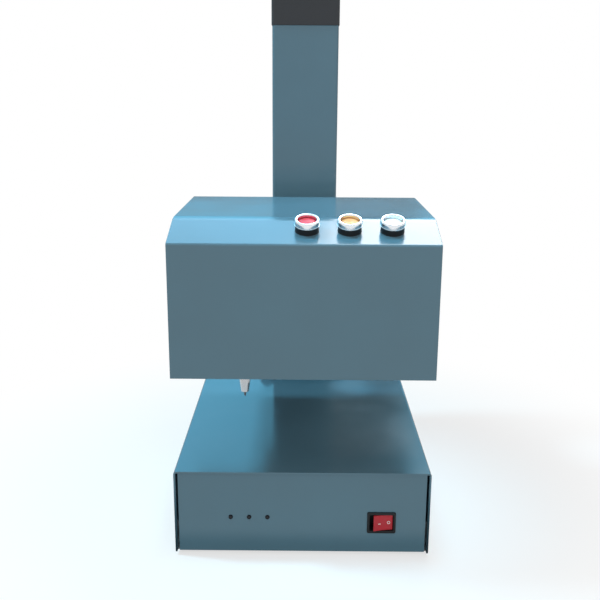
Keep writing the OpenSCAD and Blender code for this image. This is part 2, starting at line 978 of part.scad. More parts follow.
module column_cap() {
  color([0.10, 0.10, 0.11])
  difference() {
    union() {
      translate([0, col_y, z_cap]) linear_extrude(height = cap_h)
        soft_rect(col_w + 2 * cap_over, col_d + 2 * cap_over, cap_round);
      translate([0, col_y, z_cap - cap_plug]) linear_extrude(height = cap_plug)
        soft_rect(col_w - 2 * col_wall, col_d - 2 * col_wall, inner_round);
    }
    rod_z(lift_screw_dia + screw_room, 0, col_y, z_cap - cap_plug - cut, z_cap_top + cut);
    rod_z(bearing_d, 0, col_y, z_cap_top - bearing_h, z_cap_top + cut);
  }
}

module screw_bearings() {
  color([0.66, 0.68, 0.70])
  for (z = [z_foot, z_cap_top - bearing_h])
    difference() {
      rod_z(bearing_d, 0, col_y, z, z + bearing_h);
      rod_z(journal_d + run_fit, 0, col_y, z - cut, z + bearing_h + cut);
    }
}

module lift_screw() {
  z_step0 = z_foot + bearing_h + run_fit / 2;
  z_step1 = z_cap_top - bearing_h - crank_gap;
  color([0.62, 0.64, 0.66])
  {
    rod_z(journal_d, 0, col_y, z_foot + crank_gap, z_step0);
    rod_z(lift_screw_dia, 0, col_y, z_step0, z_step1);
    rod_z(journal_d, 0, col_y, z_step1, z_hub + hub_h);
  }
}

module crank_arm() {
  color([0.12, 0.12, 0.13])
  difference() {
    union() {
      rod_z(hub_d, 0, col_y, z_hub, z_hub + hub_h);
      block(0, crank_r, col_y - crank_arm_w / 2, col_y + crank_arm_w / 2, z_arm, z_arm + crank_arm_t);
      rod_z(crank_arm_w, crank_r, col_y, z_arm, z_arm + crank_arm_t);
    }
    rod_z(journal_d, 0, col_y, z_hub - cut, z_hub + hub_h + cut);
    rod_z(pin_shaft_d, crank_r, col_y, z_arm - cut, z_arm + crank_arm_t + cut);
  }
}

module crank_pin() {
  color([0.70, 0.71, 0.72])
  {
    rod_z(pin_shaft_d, crank_r, col_y, z_arm, z_arm + pin_shaft_h);
    rod_z(pin_head_d, crank_r, col_y, z_arm + pin_shaft_h, z_arm + pin_shaft_h + pin_head_h);
  }
}

module crank_grip() {
  color([0.08, 0.08, 0.09])
  difference() {
    union() {
      rod_z(grip_d, crank_r, col_y, z_grip, z_grip + grip_h);
      rod_z(grip_belly_d, crank_r, col_y, z_grip + grip_belly_rise, z_grip + grip_belly_rise + grip_belly_h);
      rod_z(grip_end_d, crank_r, col_y, z_grip + grip_h, z_grip + grip_h + grip_end_h);
    }
    rod_z(pin_shaft_d + run_fit, crank_r, col_y, z_grip - cut, z_grip + grip_h + grip_end_h + cut);
  }
}

module carriage_sleeve() {
  color([0.22, 0.23, 0.24])
  difference() {
    translate([0, col_y, z_sleeve]) linear_extrude(height = sleeve_h) difference() {
      soft_rect(2 * sleeve_x, 2 * sleeve_y, sleeve_round);
      soft_rect(2 * sleeve_in_x, 2 * sleeve_in_y, inner_round);
    }
    rod_x(knob_shaft_d + run_fit, -sleeve_x - cut, -sleeve_in_x + cut, col_y, z_mid);
    for (x = [-nut_screw_x, nut_screw_x])
      rod_y(nut_screw_d + screw_fit, x, col_y + sleeve_in_y - cut, col_y + sleeve_y + cut, z_mid);
    at_bracket_screws(bracket_screw_mid)
      rod_y(bracket_screw_d, 0, col_y - sleeve_y - cut, col_y - sleeve_in_y + cut, 0);
  }
}

module guide_pads() {
  px = col_w / 2 + pad_gap;
  py = col_d / 2 + pad_gap;
  front_half = col_w / 2 - pad_front_inset;
  color([0.86, 0.85, 0.80])
  for (z = [z_sleeve + pad_end, z_sleeve_top - pad_end - pad_h]) {
    block(-front_half, front_half, col_y - sleeve_in_y, col_y - py, z, z + pad_h);
    both_sides() {
      block(px, sleeve_in_x, col_y - pad_side_half, col_y + pad_side_half, z, z + pad_h);
      block(slot_w / 2 + pad_slot_gap, col_w / 2 - pad_rear_inset,
            col_y + py, col_y + sleeve_in_y, z, z + pad_h);
    }
  }
}

module nut_arm() {
  color([0.55, 0.57, 0.59])
  difference() {
    union() {
      rod_z(nut_eye_d, 0, col_y, z_arm_low, z_arm_high);
      block(-nut_arm_w / 2, nut_arm_w / 2, col_y, col_y + sleeve_in_y, z_arm_low, z_arm_high);
    }
    rod_z(nut_d, 0, col_y, z_arm_low - cut, z_arm_high + cut);
    for (x = [-nut_screw_x, nut_screw_x])
      rod_y(nut_screw_d, x, col_y + sleeve_in_y - nut_screw_len, col_y + sleeve_in_y + cut, z_mid);
  }
}

module lift_nut() {
  color([0.72, 0.55, 0.28])
  difference() {
    union() {
      rod_z(nut_d, 0, col_y, z_arm_low - nut_tail, z_arm_high);
      rod_z(nut_eye_d, 0, col_y, z_arm_high, z_arm_high + nut_flange_h);
    }
    rod_z(lift_screw_dia + run_fit, 0, col_y, z_arm_low - nut_tail - cut, z_arm_high + nut_flange_h + cut);
  }
}

module lock_knob() {
  x_stem = -sleeve_x - knob_stem_h;
  x_end = x_stem - knob_h;
  color([0.09, 0.09, 0.10])
  difference() {
    union() {
      rod_x(knob_d, x_end, x_stem, col_y, z_mid);
      rod_x(knob_stem_d, x_stem, -sleeve_x - knob_gap, col_y, z_mid);
      rod_x(knob_shaft_d, x_stem, -col_w / 2 - knob_tip_gap, col_y, z_mid);
    }
    for (i = [0:4])
      rotate_knob(i * 72) rod_x(knob_groove_d, x_end - cut, x_stem + cut, col_y, z_mid + knob_groove_r);
  }
}

// turn about the axis of the lock knob
module rotate_knob(a) {
  translate([0, col_y, z_mid]) rotate([a, 0, 0]) translate([0, -col_y, -z_mid]) children();
}

// frame and cover of the marking head

module head_bracket() {
  y_web0 = back_y1 + bracket_t;
  y_web1 = bracket_y1 - bracket_foot;
  z0 = z_sleeve + bracket_inset;
  z1 = z_sleeve_top - bracket_inset;
  wide = bracket_x + bracket_over;
  color([0.22, 0.23, 0.24])
  difference() {
    union() {
      block(-wide, wide, back_y1, y_web0, z_sleeve, z_sleeve_top);
      both_sides() block(bracket_x - bracket_web, bracket_x, y_web0, y_web1, z0, z1);
      block(bracket_web - bracket_x, bracket_x - bracket_web, y_web0, y_web1,
            z_mid - bracket_web / 2, z_mid + bracket_web / 2);
      block(-bracket_x, bracket_x, y_web1, bracket_y1, z0, z1);
    }
    at_bracket_screws(bracket_screw_out)
      rod_y(bracket_screw_d + bolt_fit, 0, back_y1 - cut, y_web0 + cut, 0);
    at_bracket_screws(bracket_screw_mid)
      rod_y(bracket_screw_d + bolt_fit, 0, y_web1 - cut, bracket_y1 + cut, 0);
  }
}

module bracket_screws() {
  y_web0 = back_y1 + bracket_t;
  y_web1 = bracket_y1 - bracket_foot;
  color([0.15, 0.15, 0.16])
  {
    at_bracket_screws(bracket_screw_out) {
      rod_y(bracket_head_d, 0, y_web0, y_web0 + bracket_head_h, 0);
      rod_y(bracket_screw_d, 0, back_y0 + bracket_screw_end, y_web0, 0);
    }
    at_bracket_screws(bracket_screw_mid) {
      rod_y(bracket_head_d, 0, y_web1 - bracket_head_h, y_web1, 0);
      rod_y(bracket_screw_d, 0, y_web1, bracket_y1 + bracket_screw_grip, 0);
    }
    for (x = [-nut_screw_x, nut_screw_x]) {
      rod_y(nut_screw_head_d, x, col_y + sleeve_y, col_y + sleeve_y + nut_screw_head_h, z_mid);
      rod_y(nut_screw_d, x, col_y + sleeve_in_y - nut_screw_len + nut_screw_end, col_y + sleeve_y, z_mid);
    }
  }
}

module head_back_plate() {
  color([0.60, 0.62, 0.64])
  difference() {
    block(-head_in_x, head_in_x, back_y0, back_y1, head_z + back_rise, z_head_top - head_sheet - back_drop);
    at_bracket_screws(bracket_screw_out) rod_y(bracket_screw_d, 0, back_y0 - cut, back_y1 + cut, 0);
    for (x = [-block_x, block_x])
      rod_y(y_rod_d, x, back_y0 - cut, back_y1 - y_rod_end, y_rod_z);
  }
}

module head_side_plates() {
  color([0.60, 0.62, 0.64])
  both_sides()
    difference() {
      block(side_x, head_in_x, front_y1, back_y0, z_side0, z_side1);
      for (y = head_screw_ys)
        for (z = head_screw_zs)
          rod_x(screw_d, side_x - cut, head_in_x + cut, y, z);
    }
}

module head_front_plate() {
  color([0.60, 0.62, 0.64])
  difference() {
    block(-head_in_x, head_in_x, front_y0, front_y1, head_z + front_rise, y_rod_z + front_over);
    for (x = [-block_x, block_x])
      rod_y(y_rod_d, x, front_y0 - cut, front_y1 + cut, y_rod_z);
    rod_y(y_screw_d + run_fit, block_x, front_y0 - cut, front_y1 + cut, y_screw_z);
  }
}

module head_outline() {
  bent_outline([[y_front, head_z], [y_front, z_shoulder], [y_front + slope_d, z_head_top],
                [head_y1, z_head_top], [head_y1, head_z]],
               [0, front_bend, top_bend, 0, 0]);
}

module head_inside() {
  t = head_sheet;
  ta = tan(slope_a);
  drop = t / cos(slope_a);
  polygon([[y_front + t, head_z - cut],
           [y_front + t, z_shoulder + t * ta - drop],
           [y_front + (slope_rise - t + drop) / ta, z_head_top - t],
           [head_y1 + cut, z_head_top - t],
           [head_y1 + cut, head_z - cut]]);
}

module head_cover() {
  color([0.36, 0.46, 0.52])
  difference() {
    along_x(-head_x, head_x) head_outline();
    along_x(-head_in_x, head_in_x) head_inside();
    for (i = [0:2])
      at_button(i) rod_z(barrel_d, 0, 0, -head_sheet - 4 * cut, 4 * cut);
    for (y = head_screw_ys)
      for (z = head_screw_zs)
        rod_x(screw_d + screw_fit, -head_x - cut, head_x + cut, y, z);
  }
}

module head_cover_screws() {
  color([0.70, 0.71, 0.72])
  both_sides()
    for (y = head_screw_ys)
      for (z = head_screw_zs) {
        rod_x(screw_head_d, head_x, head_x + screw_head_h, y, z);
        rod_x(screw_d, side_x + head_screw_end, head_x, y, z);
      }
}

// marking motion

// rods along Y, with stop collars at both ends of the travel
module y_guide_rods() {
  y_stop0 = block_y0 - stop_gap - stop_w;
  y_stop1 = block_y1 + y_travel + stop_gap;
  color([0.78, 0.79, 0.80])
  both_sides() {
    rod_y(y_rod_d, block_x, front_y0, back_y1 - y_rod_end, y_rod_z);
    for (y = [y_stop0, y_stop1])
      rod_y(stop_d, block_x, y, y + stop_w, y_rod_z);
  }
}

module y_motor() {
  color([0.14, 0.14, 0.15])
  difference() {
    union() {
      block(block_x - motor_w / 2, block_x + motor_w / 2, y_motor_y0, back_y0,
            y_screw_z - motor_w / 2, y_screw_z + motor_w / 2);
      rod_y(motor_boss_d, block_x, y_motor_y0 - motor_boss_h, y_motor_y0, y_screw_z);
    }
    rod_y(y_screw_d + run_fit, block_x, y_motor_y0 - motor_boss_h - cut, y_motor_y0 + motor_bore, y_screw_z);
  }
}

module y_motor_bracket() {
  color([0.60, 0.62, 0.64])
  difference() {
    block(block_x - motor_w / 2 - y_bracket_side, side_x, y_motor_y0 - y_bracket_t, y_motor_y0,
          y_screw_z - y_bracket_half, y_screw_z + y_bracket_half);
    rod_y(motor_boss_d, block_x, y_motor_y0 - y_bracket_t - cut, y_motor_y0 + cut, y_screw_z);
  }
}

module y_screw() {
  color([0.72, 0.73, 0.74])
  rod_y(y_screw_d, block_x, front_y0 + y_screw_inset, y_motor_y0 + y_screw_grip, y_screw_z);
}

module y_nut() {
  color([0.72, 0.55, 0.28])
  difference() {
    union() {
      rod_y(y_nut_flange_d, block_x, block_y0 - y_nut_flange_t, block_y0, y_screw_z);
      rod_y(y_nut_d, block_x, block_y0, block_y0 + y_nut_len, y_screw_z);
    }
    rod_y(y_screw_d + run_fit, block_x, block_y0 - y_nut_flange_t - cut, block_y0 + y_nut_len + cut, y_screw_z);
  }
}

module x_end_blocks() {
  color([0.64, 0.66, 0.68])
  {
    difference() {
      both_sides()
        difference() {
          block(block_x0, block_x1, block_y0, block_y1, z_block, z_block + block_h);
          rod_y(y_rod_d + run_fit, block_x, block_y0 - cut, block_y1 + cut, y_rod_z);
          for (z = x_rod_zs)
            rod_x(x_rod_d, block_x0 - cut, block_x0 + rod_seat, rods_y, z);
        }
      rod_y(y_nut_d, block_x, block_y0 - cut, block_y0 + y_nut_len, y_screw_z);
      rod_y(y_screw_d + y_screw_room, block_x, block_y0 + y_nut_len - cut, block_y1 + cut, y_screw_z);
      rod_y(axle_hole_d, -block_x, block_y0 - cut, block_y1 + cut, belt_z);
    }
    rod_y(axle_d, block_x, block_y1, belt_y1 + axle_end, belt_z);
  }
}

module x_guide_rods() {
  color([0.78, 0.79, 0.80])
  for (z = x_rod_zs)
    rod_x(x_rod_d, -block_x0 - rod_seat, block_x0 + rod_seat, rods_y, z);
}

module x_motor() {
  color([0.14, 0.14, 0.15])
  difference() {
    block(-block_x - motor_w / 2, -block_x + motor_w / 2, block_y0 - x_motor_len, block_y0,
          belt_z - motor_w / 2, belt_z + motor_w / 2);
    rod_y(axle_d + run_fit, -block_x, block_y0 - motor_bore, block_y0 + cut, belt_z);
  }
}

module pulley_wheel(x, bore) {
  difference() {
    union() {
      rod_y(pulley_d, x, belt_y0 - pulley_flange_t, belt_y1 + pulley_flange_t, belt_z);
      rod_y(pulley_flange_d, x, belt_y0 - pulley_gap - pulley_flange_t, belt_y0 - pulley_gap, belt_z);
      rod_y(pulley_flange_d, x, belt_y1 + pulley_gap, belt_y1 + pulley_gap + pulley_flange_t, belt_z);
    }
    if (bore > 0) rod_y(bore, x, belt_y0 - 3 * cut, belt_y1 + 4 * cut, belt_z);
  }
}

module x_drive_pulley() {
  color([0.68, 0.70, 0.72])
  union() {
    pulley_wheel(-block_x, 0);
    rod_y(axle_d, -block_x, block_y0 - motor_bore + cut, belt_y0, belt_z);
  }
}

module x_idler_pulley() {
  color([0.68, 0.70, 0.72])
  pulley_wheel(block_x, axle_d + run_fit);
}

module belt_loop(r) {
  square([2 * block_x, 2 * r], center = true);
  for (x = [-block_x, block_x]) translate([x, 0]) circle(r = r);
}

module x_belt() {
  color([0.07, 0.07, 0.08])
  translate([0, belt_y1, belt_z]) rotate([90, 0, 0]) linear_extrude(height = belt_w)
    difference() {
      belt_loop(belt_r + belt_t);
      belt_loop(belt_r);
    }
}

module x_slider() {
  run = belt_z + belt_r;
  z_slider = head_z + slider_rise;
  color([0.20, 0.21, 0.23])
  difference() {
    union() {
      block(stylus_x - slider_w / 2, stylus_x + slider_w / 2, rods_y - slider_half_d,
            rods_y + slider_half_d, z_slider, z_slider + slider_h);
      block(stylus_x - clamp_w / 2, stylus_x + clamp_w / 2, stylus_y - clamp_front,
            rods_y - slider_half_d, z_clamp, z_clamp + clamp_h);
      block(stylus_x - belt_clamp_w / 2, stylus_x + belt_clamp_w / 2, rods_y + slider_half_d,
            belt_y1, run - belt_clamp_low, run + belt_clamp_high);
    }
    for (z = x_rod_zs)
      rod_x(x_rod_d + run_fit, stylus_x - slider_w, stylus_x + slider_w, rods_y, z);
    rod_z(body_d, stylus_x, stylus_y, z_clamp - cut, z_clamp + clamp_h + cut);
    block(stylus_x - belt_clamp_w / 2 - cut, stylus_x + belt_clamp_w / 2 + cut,
          belt_y0 - belt_slot_front, belt_y1 + cut, run - belt_slot, run + belt_t + belt_slot);
  }
}

// pneumatic stylus

module stylus_body() {
  color([0.74, 0.75, 0.77])
  difference() {
    union() {
      rod_z(body_d, stylus_x, stylus_y, z_body, z_body_top);
      rod_z(body_d + body_flange, stylus_x, stylus_y, z_clamp + clamp_h, z_clamp + clamp_h + body_flange_h);
    }
    rod_z(nozzle_dia, stylus_x, stylus_y, z_body - cut, z_nozzle_top);
    rod_z(piston_d + run_fit, stylus_x, stylus_y, z_nozzle_top - cut, z_piston + piston_room);
    rod_z(air_hole_d, stylus_x, stylus_y, z_piston + piston_room - cut, z_body_top + cut);
  }
}

module stylus_nozzle() {
  color([0.80, 0.81, 0.82])
  difference() {
    union() {
      translate([stylus_x, stylus_y, z_nozzle]) cylinder(d1 = nozzle_end_dia, d2 = nozzle_dia, h = cone_h);
      rod_z(nozzle_dia, stylus_x, stylus_y, z_cone, z_nozzle_top);
    }
    rod_z(pin_dia + run_fit, stylus_x, stylus_y, z_nozzle - cut, z_nozzle_top + cut);
    rod_z(piston_d + run_fit, stylus_x, stylus_y, z_spring, z_nozzle_top + cut);
  }
}

module stylus_pin() {
  color([0.28, 0.28, 0.30])
  {
    translate([stylus_x, stylus_y, z_tip]) cylinder(d1 = tip_d, d2 = pin_dia, h = tip_h);
    rod_z(pin_dia, stylus_x, stylus_y, z_tip + tip_h, z_piston);
    rod_z(piston_d, stylus_x, stylus_y, z_piston, z_piston + piston_h);
  }
}

module return_spring() {
  color([0.66, 0.67, 0.69])
  difference() {
    rod_z(piston_d - spring_gap, stylus_x, stylus_y, z_spring, z_piston);
    rod_z(pin_dia + spring_room, stylus_x, stylus_y, z_spring - cut, z_piston + cut);
  }
}

module air_elbow() {
  z = z_body_top;
  color([0.11, 0.11, 0.12])
  difference() {
    union() {
      rod_z(elbow_d, stylus_x, stylus_y, z, z + elbow_h);
      rod_x(elbow_d, stylus_x, stylus_x + elbow_len, stylus_y, z + elbow_rise);
    }
    rod_x(elbow_bore, stylus_x, stylus_x + elbow_len + cut, stylus_y, z + elbow_rise);
    rod_z(air_hole_d, stylus_x, stylus_y, z - cut, z + elbow_rise);
  }
}

// push buttons on the sloping panel

module button_bodies() {
  color([0.07, 0.07, 0.08])
  for (i = [0:2])
    at_button(i)
      difference() {
        union() {
          rod_z(collar_d, 0, 0, 0, collar_h);
          rod_z(barrel_d, 0, 0, -barrel_h, 0);
          rod_z(barrel_nut_d, 0, 0, -head_sheet - barrel_nut_h, -head_sheet);
        }
        rod_z(cap_bore, 0, 0, collar_h - skirt - skirt_room - button_stroke, collar_h + cut);
        rod_z(stem_d + button_fit, 0, 0, -stem_low - stem_room - button_stroke, collar_h);
      }
}

module button_rings() {
  color([0.82, 0.83, 0.84])
  for (i = [0:2])
    at_button(i) difference() {
      rod_z(ring_dia, 0, 0, collar_h, collar_h + ring_h);
      rod_z(cap_bore, 0, 0, collar_h - cut, collar_h + ring_h + cut);
    }
}

module button_cap() {
  rod_z(cap_d, 0, 0, collar_h - skirt, collar_h + ring_h - face_low);
  rod_z(stem_d, 0, 0, -stem_low, collar_h - skirt);
}

module red_button() {
  color([0.75, 0.10, 0.14]) at_button(0) button_cap();
}

module yellow_button() {
  color([0.88, 0.62, 0.25]) at_button(1) button_cap();
}

module white_button() {
  color([0.90, 0.93, 0.95]) at_button(2) button_cap();
}

base_cover();
chassis_tray();
front_panel();
rear_panel();
rubber_feet();
cover_screws();
power_switch_housing();
power_switch_rocker();
indicator_lamps();
power_inlet();
air_inlet_fitting();
data_connector();
power_supply();
control_board();
motor_drivers();
solenoid_valve();
column_pedestal();
column_foot();
foot_bolts();
column_tube();
column_cap();
screw_bearings();
lift_screw();
crank_arm();
crank_pin();
crank_grip();
carriage_sleeve();
guide_pads();
nut_arm();
lift_nut();
lock_knob();
head_bracket();
bracket_screws();
head_back_plate();
head_side_plates();
head_front_plate();
head_cover();
head_cover_screws();
y_guide_rods();
y_motor();
y_motor_bracket();
y_screw();
y_nut();
x_end_blocks();
x_guide_rods();
x_motor();
x_drive_pulley();
x_idler_pulley();
x_belt();
x_slider();
stylus_body();
stylus_nozzle();
stylus_pin();
return_spring();
air_elbow();
button_bodies();
button_rings();
red_button();
yellow_button();
white_button();
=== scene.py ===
import math
from collections import namedtuple

import bmesh
import bpy
from bpy.props import FloatProperty, FloatVectorProperty, IntProperty, PointerProperty
from mathutils import Matrix, Vector


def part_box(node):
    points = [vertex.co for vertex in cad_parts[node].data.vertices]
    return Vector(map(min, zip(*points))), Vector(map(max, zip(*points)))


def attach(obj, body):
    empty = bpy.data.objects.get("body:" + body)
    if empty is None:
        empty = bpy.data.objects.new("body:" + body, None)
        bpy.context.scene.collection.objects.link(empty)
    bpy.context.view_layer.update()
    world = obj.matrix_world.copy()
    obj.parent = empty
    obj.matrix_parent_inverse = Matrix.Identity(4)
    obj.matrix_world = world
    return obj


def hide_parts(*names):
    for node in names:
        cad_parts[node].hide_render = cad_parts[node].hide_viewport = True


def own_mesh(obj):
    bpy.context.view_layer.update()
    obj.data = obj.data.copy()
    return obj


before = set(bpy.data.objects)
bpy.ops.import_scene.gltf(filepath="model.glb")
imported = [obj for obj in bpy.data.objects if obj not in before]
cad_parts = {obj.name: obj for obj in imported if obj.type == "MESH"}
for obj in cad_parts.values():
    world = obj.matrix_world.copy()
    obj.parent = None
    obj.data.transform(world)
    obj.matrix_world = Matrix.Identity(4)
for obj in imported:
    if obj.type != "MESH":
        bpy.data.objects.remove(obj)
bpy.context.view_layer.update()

bl_info = {
    "name": "Dot Peen Marker",
    "version": (1, 0, 0),
    "blender": (4, 5, 0),
    "location": "View3D > Sidebar > Marker",
    "description": "Builds the looks of a pneumatic dot peen marker around its packed frame",
    "category": "Object",
}

MM = 0.001
TURN = 2 * math.pi
# millimetres within which two points are one
MERGE = 1e-5
# faces that meet at less than this are shaded as one
SMOOTH_ANGLE = math.radians(34)


def linear(hex_colour):
    """Linear red, green and blue of an sRGB hex value."""
    channels = [int(hex_colour[i:i + 2], 16) / 255 for i in (0, 2, 4)]
    return tuple(c / 12.92 if c <= 0.04045 else ((c + 0.055) / 1.055) ** 2.4 for c in channels)


def colour(name, description, hex_colour):
    """Colour property whose default is an sRGB hex value."""
    return FloatVectorProperty(name=name, description=description, subtype="COLOR", size=3,
                               min=0.0, max=1.0, default=linear(hex_colour))


def length(name, description, millimetres):
    """Length property with a default in millimetres."""
    return FloatProperty(name=name, description=description, unit="LENGTH", min=0.0,
                         default=millimetres * MM)


def number(name, description, default, unit="NONE"):
    """Number property with Blender's word for its unit."""
    return FloatProperty(name=name, description=description, default=default, unit=unit)


class CaseSettings(bpy.types.PropertyGroup):
    paint: colour("Paint", "Stoved enamel on the covers, panels and column", "51717F")
    case_bend: length("Case bend", "Outer radius of the bends of the base cover", 3)
    front_bend: length("Front bend", "Outer radius between the head's front and its slope", 2)
    top_bend: length("Top bend", "Outer radius between the slope and the head's top", 7)
    side_edge: length("Side edge", "Radius of the ground welds along the head's sides", 0.9)
    front_height: length("Front height", "Height of the head's upright front", 146.5)
    slope_depth: length("Slope depth", "Depth of the sloping button panel", 55)
    base_sheet: length("Base sheet", "Thickness of the base cover", 2)
    head_sheet: length("Head sheet", "Thickness of the head cover", 1.5)
    edge: length("Edge", "Width of the broken edges of the plain machined pieces", 0.4)


class ControlSettings(bpy.types.PropertyGroup):
    red: colour("Red lens", "Lens of the left push button", "D63846")
    amber: colour("Amber lens", "Lens of the middle push button", "E69E63")
    clear: colour("Clear lens", "Lens of the right push button", "E6EDF0")
    rocker: colour("Rocker", "Moulded rocker of the power switch", "A51B27")
    lamp: colour("Lamp", "Unlit lens of the indicator lamps", "0A0B10")
    mark: colour("Mark", "On and off marks of the power switch", "F2EFEA")
    button_x: length("First button", "Distance of the first button from the middle", 3)
    button_pitch: length("Button pitch", "Distance between the buttons", 45)
    button_run: length("Button run", "Distance of the buttons up the slope", 30.3)
    collar_height: length("Collar height", "Height of the black collar under each ring", 6.8)
    ring_height: length("Ring height", "Height of the chrome ring", 7)
    ring_diameter: length("Ring diameter", "Outer diameter of the chrome ring", 27.2)
    lens_drop: length("Lens drop", "Depth of the lens below the rim", 3.5)


class DriveSettings(bpy.types.PropertyGroup):
    lift_pitch: length("Lift pitch", "Pitch of the thread on the lift screw", 5)
    drive_lead: length("Drive lead", "Travel of the drive screw in one turn", 8)
    drive_starts: IntProperty(name="Drive starts", description="Threads side by side on the drive screw",
                              default=4, min=1, max=6)
    tooth_pitch: length("Tooth pitch", "Pitch of the teeth on the belt", 3)
    spring_wire: length("Spring wire", "Wire of the return spring", 0.9)
    spring_turns: IntProperty(name="Spring turns", description="Turns of the return spring",
                              default=7, min=3, max=12)
    pin_stroke: length("Pin stroke", "Travel of the pin, by which the return spring shortens", 5)


class StageSettings(bpy.types.PropertyGroup):
    camera: FloatVectorProperty(name="Camera", description="Place of the camera", subtype="XYZ",
                                unit="LENGTH", default=(-0.0005, -1.0389, 0.5142))
    tilt: number("Tilt", "Camera's angle below level", 0.2518, "ROTATION")
    swing: number("Swing", "Camera's turn to the left", 0.00397, "ROTATION")
    roll: number("Roll", "Camera's turn about its own line of sight", 0.0063, "ROTATION")
    lens: number("Lens", "Focal length in millimetres", 49.89, "CAMERA")
    sensor: number("Sensor", "Width of the sensor in millimetres", 36.0, "CAMERA")
    floor: colour("Floor", "Pale floor", "F4F5F5")
    key_power: number("Key power", "Watts of the light on the left", 26.0, "POWER")
    back_power: number("Back power", "Watts of the light behind", 9.0, "POWER")
    beam_power: number("Beam power", "Watts of the light above", 110.0, "POWER")
    fill_power: number("Fill power", "Watts of the light in front", 30.0, "POWER")
    ambient: number("Ambient", "Strength of the even light", 0.46)


def add_node(tree, kind, inputs=None, **settings):
    """Add a node with its settings, and give its inputs a value or another node's output."""
    node = tree.nodes.new(kind)
    for name, value in settings.items():
        setattr(node, name, value)
    for name, value in (inputs or {}).items():
        if isinstance(value, bpy.types.NodeSocket):
            tree.links.new(value, node.inputs[name])
        else:
            node.inputs[name].default_value = value
    return node


def empty_tree(name):
    """New material with an empty node tree."""
    material = bpy.data.materials.new(name)
    material.use_nodes = True
    material.node_tree.nodes.clear()
    return material, material.node_tree


# Base and tint are the tones that a finish drifts between: an sRGB hex value, or the group and name of
# a colour setting with a factor. Roughness is its least and greatest value. Patch, grain and relief are
# in millimetres. Sockets are other values of the shader. Stretch is how many times longer the grain is
# along each axis.
Finish = namedtuple("Finish", "base tint roughness patch grain relief sockets stretch",
                    defaults=({}, (1, 1, 1)))

METAL = {"Metallic": 1.0}
LENS = {"Subsurface Weight": 0.3, "Subsurface Scale": 0.004, "Specular IOR Level": 0.18}


def tinted(setting, factor, *rest):
    """Finish in the colour of a control's setting, which drifts to a lighter or darker tone."""
    return Finish(("marker_controls", setting, 1.0), ("marker_controls", setting, factor), *rest)


# Each finish by the name of its real material. Comments say what the eye gets from it. Grinding marks,
# mould grain and spray grain are finer than this in life, and are drawn as coarse as they need to show.
FINISHES = {
    # sprayed and baked gloss: clear reflections, faint orange peel and wiped patches
    "stoved blue enamel": Finish(("marker_case", "paint", 0.95), ("marker_case", "paint", 1.06),
                                 (0.13, 0.24), 70, 2.2, 0.006, {"IOR": 1.5}),
    # bright plating with a cool cloudy bloom
    "zinc plated steel": Finish("C9CED1", "AEB6BC", (0.25, 0.45), 9, 0.7, 0.01, METAL),
    # thin oiled oxide over turned steel: dark with a soft metal sheen
    "black oxide steel": Finish("232427", "2E3033", (0.32, 0.5), 14, 0.5, 0.01, {"Metallic": 0.75}),
    # dull black baked on a motor's laminations
    "black stove enamel": Finish("18191B", "212326", (0.42, 0.6), 12, 0.8, 0.02),
    # satin dyed oxide with the drawn lines of the profile showing through
    "black anodised aluminium": Finish("1E1F22", "292A2E", (0.3, 0.45), 20, 0.9, 0.008,
                                       {"Metallic": 0.6}, (1, 1, 14)),
    # pale metal with long cutter lines
    "milled aluminium": Finish("C2C6C9", "B4B9BD", (0.36, 0.44), 45, 1.1, 0.012, METAL, (16, 1, 1)),
    # bright bar with fine grinding marks around it
    "ground steel": Finish("C2C5C8", "A9ADB1", (0.14, 0.28), 8, 0.45, 0.004, METAL),
    # dense dark grey metal, finely ground
    "sintered carbide": Finish("55575B", "46484C", (0.24, 0.36), 4, 0.3, 0.004, METAL),
    # mirror plating, softened by hairline wipe marks
    "bright chrome": Finish("F1F3F5", "E4E8EB", (0.16, 0.28), 10, 0.6, 0.001, METAL),
    # warm yellow metal with a dull film in places
    "turned brass": Finish("D0AA58", "AE883F", (0.2, 0.38), 6, 0.5, 0.006, METAL),
    # matt black with a grey bloom and a fine mould grain
    "moulded rubber": Finish("1B1C1D", "2B2C2D", (0.7, 0.9), 7, 0.5, 0.03),
    # satin black with a spark eroded grain
    "moulded black ABS": Finish("111214", "191B1D", (0.36, 0.52), 16, 0.45, 0.014,
                                {"Specular IOR Level": 0.3}),
    # dull black moulding, greyed by the fibres at its skin
    "glass filled nylon": Finish("2B2C2E", "36373A", (0.45, 0.62), 18, 0.6, 0.016,
                                 {"Specular IOR Level": 0.4}),
    # waxy ivory plastic that lets a little light in
    "natural acetal": Finish("E6E2D6", "D6D1C2", (0.35, 0.5), 12, 0.8, 0.01, {"Subsurface Weight": 0.15}),
    # glossy lacquer, darker over the copper planes
    "green solder mask": Finish("1F6A43", "12492E", (0.22, 0.36), 5, 1.2, 0.02),
    # dark clear dome with a hard small highlight
    "smoked lamp lens": tinted("lamp", 1.6, (0.06, 0.12), 3, 0.6, 0.002, {"Specular IOR Level": 0.35}),
    # pigmented nylon with a satin skin
    "red switch nylon": tinted("rocker", 1.18, (0.3, 0.42), 6, 0.4, 0.008),
    # printed mark, slightly uneven
    "white ink": tinted("mark", 0.86, (0.45, 0.6), 1.2, 0.3, 0.004),
    # tinted lenses over a diffuser: colour glows from inside under a polished face
    "red acrylic lens": tinted("red", 1.12, (0.16, 0.26), 5, 0.7, 0.004, LENS),
    "amber acrylic lens": tinted("amber", 1.12, (0.16, 0.26), 5, 0.7, 0.004, LENS),
    "clear acrylic lens": tinted("clear", 1.12, (0.16, 0.26), 5, 0.7, 0.004, LENS),
}

